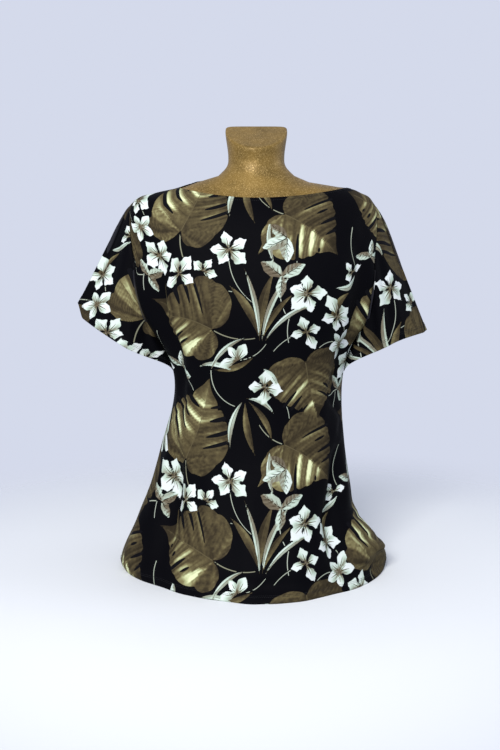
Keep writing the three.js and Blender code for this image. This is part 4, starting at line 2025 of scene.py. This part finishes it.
class Paint(Nodes):
    """A node material under construction."""

    def __init__(self, name: str, **constants: float | tuple[float, ...]) -> None:
        """Starts a material.

        Args:
            name: The material's name.
            **constants: What is the same all over the surface, by the names of the shader's sockets.
        """
        self.material = bpy.data.materials.new(name)
        self.material.use_nodes = True
        super().__init__(self.material.node_tree)
        self.tree.nodes.clear()
        self.shader = self.tree.nodes.new("ShaderNodeBsdfPrincipled")
        self.output = self.tree.nodes.new("ShaderNodeOutputMaterial")
        self.tree.links.new(self.shader.outputs[0], self.output.inputs["Surface"])
        for key, value in constants.items():
            self.put(key.replace("_", " ").title().replace("Ior", "IOR"), value)

    def put(self, name: str, value: object) -> None:
        """Feeds one of the shader's sockets."""
        self.fill(self.shader.inputs[name], value)

    def attribute(self, name: str) -> Value:
        """Reads an attribute of the piece's mesh."""
        return self.node("ShaderNodeAttribute", {"attribute_name": name}).out("Vector")

    def parts(self, name: str) -> tuple[Value, Value, Value]:
        """Returns the three parts of an attribute of the piece's mesh."""
        made = self.node("ShaderNodeSeparateXYZ", None, self.attribute(name))
        return made.out("X"), made.out("Y"), made.out("Z")

    def object_place(self) -> Value:
        """Returns each point's place on the piece in metres."""
        return self.node("ShaderNodeTexCoord").out("Object")

    def noise(self, place: Value, scale: float, detail: float = 2, rough: float = 0.5) -> Value:
        """Returns a soft random number between 0 and 1.

        Args:
            place: Where to read it.
            scale: How fine it is.
            detail: How many finer layers it has.
            rough: How much of them shows.

        Returns:
            The number, as a value of the tree.
        """
        named = {"Vector": place, "Scale": scale, "Detail": detail, "Roughness": rough}
        made = self.node("ShaderNodeTexNoise", None, **named)
        return made.out("Fac") if "Fac" in made.data.outputs else made.out("Factor")

    def eased(self, value: Value, start: float, stop: float) -> Value:
        """Returns 0 below start, 1 above stop and a smooth step between."""
        settings = {"interpolation_type": "SMOOTHSTEP"}
        return self.node("ShaderNodeMapRange", settings, value, start, stop, 0.0, 1.0).out("Result")

    def mixed(self, share: Operand, a: object, b: object) -> Value:
        """Returns the colour a share of the way from a to b."""
        return self.node("ShaderNodeMix", {"data_type": "RGBA"}, share, a, b).out("Result")

    def ramp(self, value: Value, stops: Sequence[tuple[float, str]], strength: float) -> Value:
        """Returns a colour between stops.

        Args:
            value: Where on the ramp.
            stops: Each stop's place and colour.
            strength: What the colours are multiplied by.

        Returns:
            The colour.
        """
        made = self.node("ShaderNodeValToRGB", None, value)
        elements = made.data.color_ramp.elements
        while len(elements) < len(stops):
            elements.new(0.5)
        for element, (place, code) in zip(elements, stops):
            element.position, element.color = place, tint(code, strength)
        return made.out("Color")

    def bump(self, height: Value, distance: float, strength: float = 1) -> None:
        """Raises a height under the shader's normal."""
        made = self.node("ShaderNodeBump", None, Strength=strength, Distance=distance, Height=height)
        self.put("Normal", made.out("Normal"))

    def fade(self, share: Value) -> None:
        """Lets the surface fade into what is behind it, where share is 1.

        Args:
            share: 1 where it is gone, 0 where it is solid.
        """
        clear = self.node("ShaderNodeBsdfTransparent")
        joined = self.node("ShaderNodeMixShader", None, self.eased(share, 0.0, 1.0))
        for shader, socket in ((self.shader, joined.data.inputs[1]), (clear.data, joined.data.inputs[2])):
            self.tree.links.new(shader.outputs[0], socket)
        self.tree.links.new(joined.data.outputs[0], self.output.inputs["Surface"])


def tint(code: str, strength: float = 1) -> tuple[float, ...]:
    """Returns the linear colour of a hexadecimal screen colour, opaque.

    Args:
        code: Six hexadecimal figures.
        strength: What the light in it is multiplied by.

    Returns:
        Red, green, blue and 1.
    """
    parts = [int(code[i : i + 2], 16) / 255 for i in (0, 2, 4)]
    linear = [p / 12.92 if p <= 0.04045 else ((p + 0.055) / 1.055) ** 2.4 for p in parts]
    return (*(strength * p for p in linear), 1)


@dataclass(frozen=True)
class GiltFinish:
    """Bronze-gold moulded plastic full of fine glitter, under a thin lacquer."""

    name: str = "gilt_plastic"
    base: str = "6f5829"
    deep: str = "57451f"
    flake: str = "b89c66"
    flake_scale: float = 1200
    flake_share: float = 0.55
    rough: float = 0.54

    def material(self) -> bpy.types.Material:
        """Makes the finish.

        Returns:
            The material.
        """
        paint = Paint(self.name, metallic=0.3, coat_weight=0.07, coat_roughness=0.34, specular_ior_level=0.16)
        place = paint.object_place()
        cells = paint.node("ShaderNodeTexVoronoi", {"feature": "F1"}, Vector=place, Scale=self.flake_scale)
        pick = paint.node("ShaderNodeSeparateColor", None, cells.out("Color"))
        chance, tilt = pick.out("Red"), pick.out("Green")
        spark = paint.eased(chance, 0.80, 0.93)
        cloud = paint.eased(paint.noise(place, 26, 3), 0.3, 0.7)
        ground = paint.mixed(cloud, tint(self.deep), tint(self.base))
        ground = paint.mixed(tilt * 0.35, ground, tint(self.base))
        paint.put("Base Color", paint.mixed(spark * self.flake_share, ground, tint(self.flake)))
        paint.put("Roughness", self.rough - spark * 0.14)
        paint.bump(chance, 0.0001, 0.25)
        return paint.material


Inks = tuple[tuple[float, str], ...]


@dataclass(frozen=True)
class PrintedJersey:
    """Soft matt jersey, black, printed with leaves and blossoms; its wrong side shows the print faintly.

    Attributes:
        strength: How strong the inks are.
        ground: The cloth's own colour.
        wrong_ground: The same on its wrong side.
        faint: How much of the print shows there.
        soft: Half the width of an ink's edge, in millimetres.
        stray: How far that edge wanders.
        leaf: The leaves' inks, from their darkest tone to their lightest.
        bloom: The petals' inks, from white through mint to brown.
        line: The drawn lines' inks, from black to white.
    """

    name: str = "printed_jersey"
    strength: float = 0.78
    ground: tuple[float, ...] = (0.0014, 0.0014, 0.0022, 1)
    wrong_ground: tuple[float, ...] = (0.017, 0.017, 0.021, 1)
    faint: float = 0.16
    soft: float = 0.35
    stray: float = 1.6
    leaf: Inks = (
        (0.0, "1d1912"), (0.22, "362f22"), (0.4, "534a33"),
        (0.58, "78714f"), (0.78, "a7ab80"), (1.0, "d6dcb0"),
    )
    bloom: Inks = (
        (0.0, "d4dad9"), (0.12, "c8d4cc"), (0.3, "aebfb1"),
        (0.52, "8b8f80"), (0.75, "665d4d"), (1.0, "463e31"),
    )
    line: Inks = (
        (0.0, "0d0d11"), (0.06, "0d0d11"), (0.2, "2e2719"),
        (0.45, "645b42"), (0.7, "9aa28f"), (1.0, "ccd4cc"),
    )

    def material(self) -> bpy.types.Material:
        """Makes the finish.

        Returns:
            The material.
        """
        paint = Paint(self.name, specular_ior_level=0.02, sheen_weight=0.004, sheen_roughness=0.4)
        leaf, bloom, wrong = paint.parts("inks")
        leaf_tone, bloom_tone, _ = paint.parts("tones")
        aside, half, tone = paint.parts("stroke")
        place = paint.attribute("cut")
        wash = paint.noise(place, 120, 4, 0.6) - 0.5
        wobble = (paint.noise(place, 420, 2) - 0.5) * self.stray
        layers = (
            (leaf + wobble, self.soft, leaf_tone + wash * 0.34, self.leaf),
            (bloom + wobble, self.soft, bloom_tone + wash * 0.16, self.bloom),
            (half - abs(aside), 0.3, tone, self.line),
        )
        colour = self.ground
        for inside, soft, shade, inks in layers:
            ink = paint.ramp(shade, inks, self.strength)
            colour = paint.mixed(paint.eased(inside, -soft, soft), colour, ink)
        colour = paint.mixed(wrong, colour, paint.mixed(self.faint, self.wrong_ground, colour))
        paint.put("Base Color", colour)
        paint.put("Roughness", 0.62 + wash * 0.1)
        paint.bump(paint.noise(place, 1500, 2), 0.0003, 0.25)
        return paint.material


# ---- stitches ----
@dataclass(frozen=True)
class Thread:
    """Matt black sewing thread."""

    name: str = "black_thread"
    colour: tuple[float, ...] = (0.006, 0.006, 0.008, 1)

    def material(self) -> bpy.types.Material:
        """Makes the finish."""
        return Paint(self.name, base_color=self.colour, roughness=0.55, specular_ior_level=0.2).material


@dataclass(frozen=True)
class Stitches:
    """Rows of machine stitches, laid along paths by Geometry Nodes.

    Attributes:
        pitch: From one stitch to the next, in metres.
        length: Each stitch's length.
        radius: The thread's radius.
        uneven: How far a stitch's length strays, as a share of it.
        seed: Fixes that unevenness.
    """

    pitch: float = 0.0034
    length: float = 0.0027
    radius: float = 0.00034
    uneven: float = 0.08
    seed: int = 5

    def lay(
        self, name: str, paths: Sequence[Array], ring: bool, thread: bpy.types.Material
    ) -> bpy.types.Object:
        """Sews along paths.

        Args:
            name: The piece's name.
            paths: Points in metres, a row for each.
            ring: Whether each path ends where it starts.
            thread: The thread's material.

        Returns:
            The stitches as one plain mesh.
        """
        mesh = bpy.data.meshes.new(name)
        edges = []
        start = 0
        for path in paths:
            run = np.arange(len(path)) + start
            edges += np.stack([run, np.roll(run, -1)], -1)[: None if ring else -1].tolist()
            start += len(path)
        mesh.from_pydata(np.concatenate(paths).tolist(), edges, [])
        piece = link(name, mesh)
        modifier = piece.modifiers.new("stitches", "NODES")
        modifier.node_group = self._tree()
        given = {socket.name: socket.identifier for socket in modifier.node_group.interface.items_tree}
        for size in ("pitch", "length", "radius", "uneven", "seed"):
            modifier[given[size.title()]] = getattr(self, size)
        modifier[given["Thread"]] = thread
        made = bpy.data.meshes.new_from_object(piece.evaluated_get(bpy.context.evaluated_depsgraph_get()))
        made.polygons.foreach_set("material_index", [0] * len(made.polygons))
        made.materials.clear()
        made.materials.append(thread)
        piece.modifiers.clear()
        piece.data = made
        made.name = name
        return piece

    @staticmethod
    def _tree() -> bpy.types.NodeTree:
        """Builds the node tree: points along the paths, a stitch on each.

        Returns:
            The tree.
        """
        tree = bpy.data.node_groups.new("stitches", "GeometryNodeTree")
        kinds = {"Geometry": "Geometry", **dict.fromkeys(("Pitch", "Length", "Radius", "Uneven"), "Float")}
        for name, kind in {**kinds, "Seed": "Int", "Thread": "Material"}.items():
            tree.interface.new_socket(name, in_out="INPUT", socket_type=f"NodeSocket{kind}")
        tree.interface.new_socket("Geometry", in_out="OUTPUT", socket_type="NodeSocketGeometry")
        nodes = Nodes(tree)
        given = nodes.node("NodeGroupInput")
        curve = nodes.node("GeometryNodeMeshToCurve", Mesh=given.out("Geometry")).out("Curve")
        spread = {"Curve": curve, "Length": given.out("Pitch")}
        points = nodes.node("GeometryNodeCurveToPoints", {"mode": "LENGTH"}, **spread)
        ball = nodes.node("GeometryNodeMeshUVSphere", Segments=6, Rings=4, Radius=1.0).out("Mesh")
        radius = given.out("Radius")
        size = nodes.node("ShaderNodeCombineXYZ", X=radius, Y=radius, Z=given.out("Length") * 0.5)
        stitch = nodes.node("GeometryNodeTransform", Geometry=ball, Scale=size.out("Vector"))
        strays = {"Min": 1.0 - given.out("Uneven"), "Max": 1.0, "Seed": given.out("Seed")}
        drawn = nodes.node("FunctionNodeRandomValue", {"data_type": "FLOAT"}, **strays).out("Value")
        laid = nodes.node(
            "GeometryNodeInstanceOnPoints",
            Points=points.out("Points"),
            Instance=stitch.out("Geometry"),
            Rotation=points.out("Rotation"),
            Scale=nodes.node("ShaderNodeCombineXYZ", X=1.0, Y=1.0, Z=drawn).out("Vector"),
        )
        soft = nodes.node("GeometryNodeSetShadeSmooth", Geometry=laid.out("Instances"))
        whole = nodes.node("GeometryNodeRealizeInstances", Geometry=soft.out("Geometry"))
        sewn = {"Geometry": whole.out("Geometry"), "Material": given.out("Thread")}
        nodes.node("NodeGroupOutput", None, nodes.node("GeometryNodeSetMaterial", **sewn).out("Geometry"))
        return tree


# ---- stage ----
@dataclass(frozen=True)
class Camera:
    """The camera: its place in metres, how far it looks down, and its lens."""

    place: tuple[float, float, float] = (-0.0118, -1.9, 0.630)
    down: float = math.degrees(math.atan(0.134))
    lens: float = 48
    sensor: float = 36

    def build(self) -> None:
        """Makes the camera and the scene look through it."""
        data = bpy.data.cameras.new("camera")
        data.lens, data.sensor_width = self.lens, self.sensor
        camera = link("camera", data)
        camera.location = self.place
        camera.rotation_euler = (math.radians(90 - self.down), 0, 0)
        bpy.context.scene.camera = camera


@dataclass(frozen=True)
class SoftLight:
    """A square area light that looks at a point of the object."""

    name: str
    place: tuple[float, float, float]
    size: float
    power: float
    colour: tuple[float, float, float] = (1, 1, 1)
    target: tuple[float, float, float] = (0, 0, 0.42)

    def build(self) -> None:
        """Makes the light."""
        data = bpy.data.lights.new(self.name, "AREA")
        data.energy, data.size, data.color = self.power, self.size, self.colour
        light = link(self.name, data)
        light.location = self.place
        way = Vector(self.target) - Vector(self.place)
        light.rotation_euler = way.to_track_quat("-Z", "Y").to_euler()


@dataclass
class Stage:
    """The pale floor, the pale room and its soft light.

    Attributes:
        radius: The floor's, in metres.
        solid: How far from the middle the floor starts to fade into the room.
        clear: How far from the middle it is gone.
        floor: The floor's colour.
        world: The room's colour.
    """

    radius: float = 1.6
    solid: float = 0.45
    clear: float = 1.15
    floor: tuple[float, ...] = (0.60, 0.615, 0.63, 1)
    world: tuple[float, ...] = (0.66, 0.70, 0.83, 1)
    lights: tuple[SoftLight, ...] = (
        SoftLight("key_light", (-0.8, -2.5, 1.9), 1.1, 125, (1.0, 0.99, 0.96)),
        SoftLight("side_light", (2.2, 0.2, 1.3), 1.2, 14, (0.93, 0.96, 1.0)),
    )

    def build(self) -> None:
        """Makes the floor, the world and the lights."""
        for light in self.lights:
            light.build()
        mesh = bpy.data.meshes.new("floor")
        made = bmesh.new()
        bmesh.ops.create_circle(made, cap_ends=True, segments=96, radius=self.radius)
        made.to_mesh(mesh)
        made.free()
        mesh.materials.append(self._floor_finish())
        link("floor", mesh)
        world = bpy.data.worlds.new("room")
        world.use_nodes = True
        world.node_tree.nodes["Background"].inputs["Color"].default_value = self.world
        bpy.context.scene.world = world

    def _floor_finish(self) -> bpy.types.Material:
        """Makes the floor's finish, which fades into the room with distance.

        Returns:
            The material.
        """
        paint = Paint("pale_floor", base_color=self.floor, roughness=0.8)
        settings = {"operation": "LENGTH"}
        away = paint.node("ShaderNodeVectorMath", settings, paint.object_place()).out("Value")
        paint.fade((away - self.solid) / (self.clear - self.solid))
        return paint.material


# ---- the whole ----
SLEEVES = (
    Sleeve(
        "left_sleeve", "sleeve_left", -1, (-340, 8, 513), (-163.5, 2, 385), 0, 22, 0.55,
        (
            (0.09, 0.13, -0.1, 0.85, 3.2, 0.028),
            (0.17, 0.2, 0, 0.95, -2.4, 0.03),
            (0.24, 0.25, -0.05, 1.1, 3.8, 0.03),
            (0.33, 0.3, -0.1, 0.8, 3.4, 0.03),
            (0.41, 0.36, 0, 0.9, 4.2, 0.028),
            (0.6, 0.62, -0.1, 0.9, 3.6, 0.03),
            (0.72, 0.7, 0, 1.1, 3.2, 0.035),
            (0.86, 0.84, -0.1, 0.9, 2.8, 0.03),
        ),
    ),
    Sleeve(
        "right_sleeve", "sleeve_right", 1, (326, 6, 462), (170, 2, 383), 17, 3, 0.6,
        (
            (0.08, 0.12, -0.1, 0.95, 2.6, 0.03),
            (0.19, 0.22, -0.1, 1.1, 3.6, 0.028),
            (0.28, 0.28, 0, 0.9, -2.6, 0.03),
            (0.36, 0.33, -0.1, 0.9, 4, 0.03),
            (0.43, 0.39, 0, 0.9, 3.2, 0.025),
            (0.61, 0.63, -0.1, 0.9, 3.4, 0.03),
            (0.74, 0.72, 0, 1.1, 3, 0.035),
            (0.87, 0.85, -0.1, 0.9, 2.6, 0.03),
        ),
    ),
)
LIFT = 0.16
HEM_ROWS = (15.5, 12.5)
CUFF_ROWS = (13.5, 10.5)
NECK_ROW = 6.5


def sew(sheet: ClothSheet, thread: bpy.types.Material) -> list[bpy.types.Object]:
    """Sews one piece's rows of stitches: at its hem and neckline, or round its cuff.

    Args:
        sheet: The piece's sheet.
        thread: The thread's material.

    Returns:
        The rows of stitches, a piece for each edge.
    """
    if sheet.wraps:
        rows = {"cuff": [sheet.path(at, LIFT) for at in CUFF_ROWS]}
    else:
        neck = sheet.path(NECK_ROW, LIFT, from_top=True)
        rows = {"hem": [sheet.path(at, LIFT) for at in HEM_ROWS], "neck": [neck]}
    sewn = []
    for edge, paths in rows.items():
        piece = Stitches().lay(f"{sheet.name}_{edge}_stitches", paths, sheet.wraps, thread)
        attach(piece, "root")
        LOG.info("%s: %d points", piece.name, len(piece.data.vertices))
        sewn.append(piece)
    return sewn


def dress(node: str, sheet: ClothSheet, jersey: bpy.types.Material, thread: bpy.types.Material) -> None:
    """Makes one piece of the tunic, prints it and sews it.

    Args:
        node: The solid that it stands for.
        sheet: The piece's sheet.
        jersey: The cloth's material.
        thread: The thread's material.
    """
    stamped = sheet.build()
    piece = stamped.piece
    PRINT.over(stamped.cut / MM, PRINT_STARTS[node]).print_on(stamped)
    stamped.lay_out("OFBake")
    piece.data.materials.append(jersey)
    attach(piece, "root")
    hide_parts(node)
    sew(sheet, thread)


def main() -> None:
    """Builds the camera, the stage, the torso and the tunic on it."""
    bpy.context.scene.view_settings.view_transform = "Standard"
    Camera().build()
    Stage().build()
    torso = Torso()
    form = torso.build()
    form.data.materials.append(GiltFinish().material())
    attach(form, "root")
    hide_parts(torso.node)
    LOG.info("%s: %d points", form.name, len(form.data.vertices))
    front = BodyPanel("front", "front_panel", 0)
    back = BodyPanel("back", "back_panel", 180)
    sheets = [(front.node, front.sheet()), (back.node, back.sheet())]
    sheets += [(sleeve.node, sleeve.sheet(front, back)) for sleeve in SLEEVES]
    jersey, thread = PrintedJersey().material(), Thread().material()
    for node, sheet in sheets:
        dress(node, sheet, jersey, thread)


def corners(box: Iterable[Sequence[float]]) -> list[list[float]]:
    """Returns a box's two corners as plain lists."""
    return [[float(x) for x in corner] for corner in box]


if __name__ == "__main__":
    logging.basicConfig(level=logging.INFO, format="%(message)s")
    main()
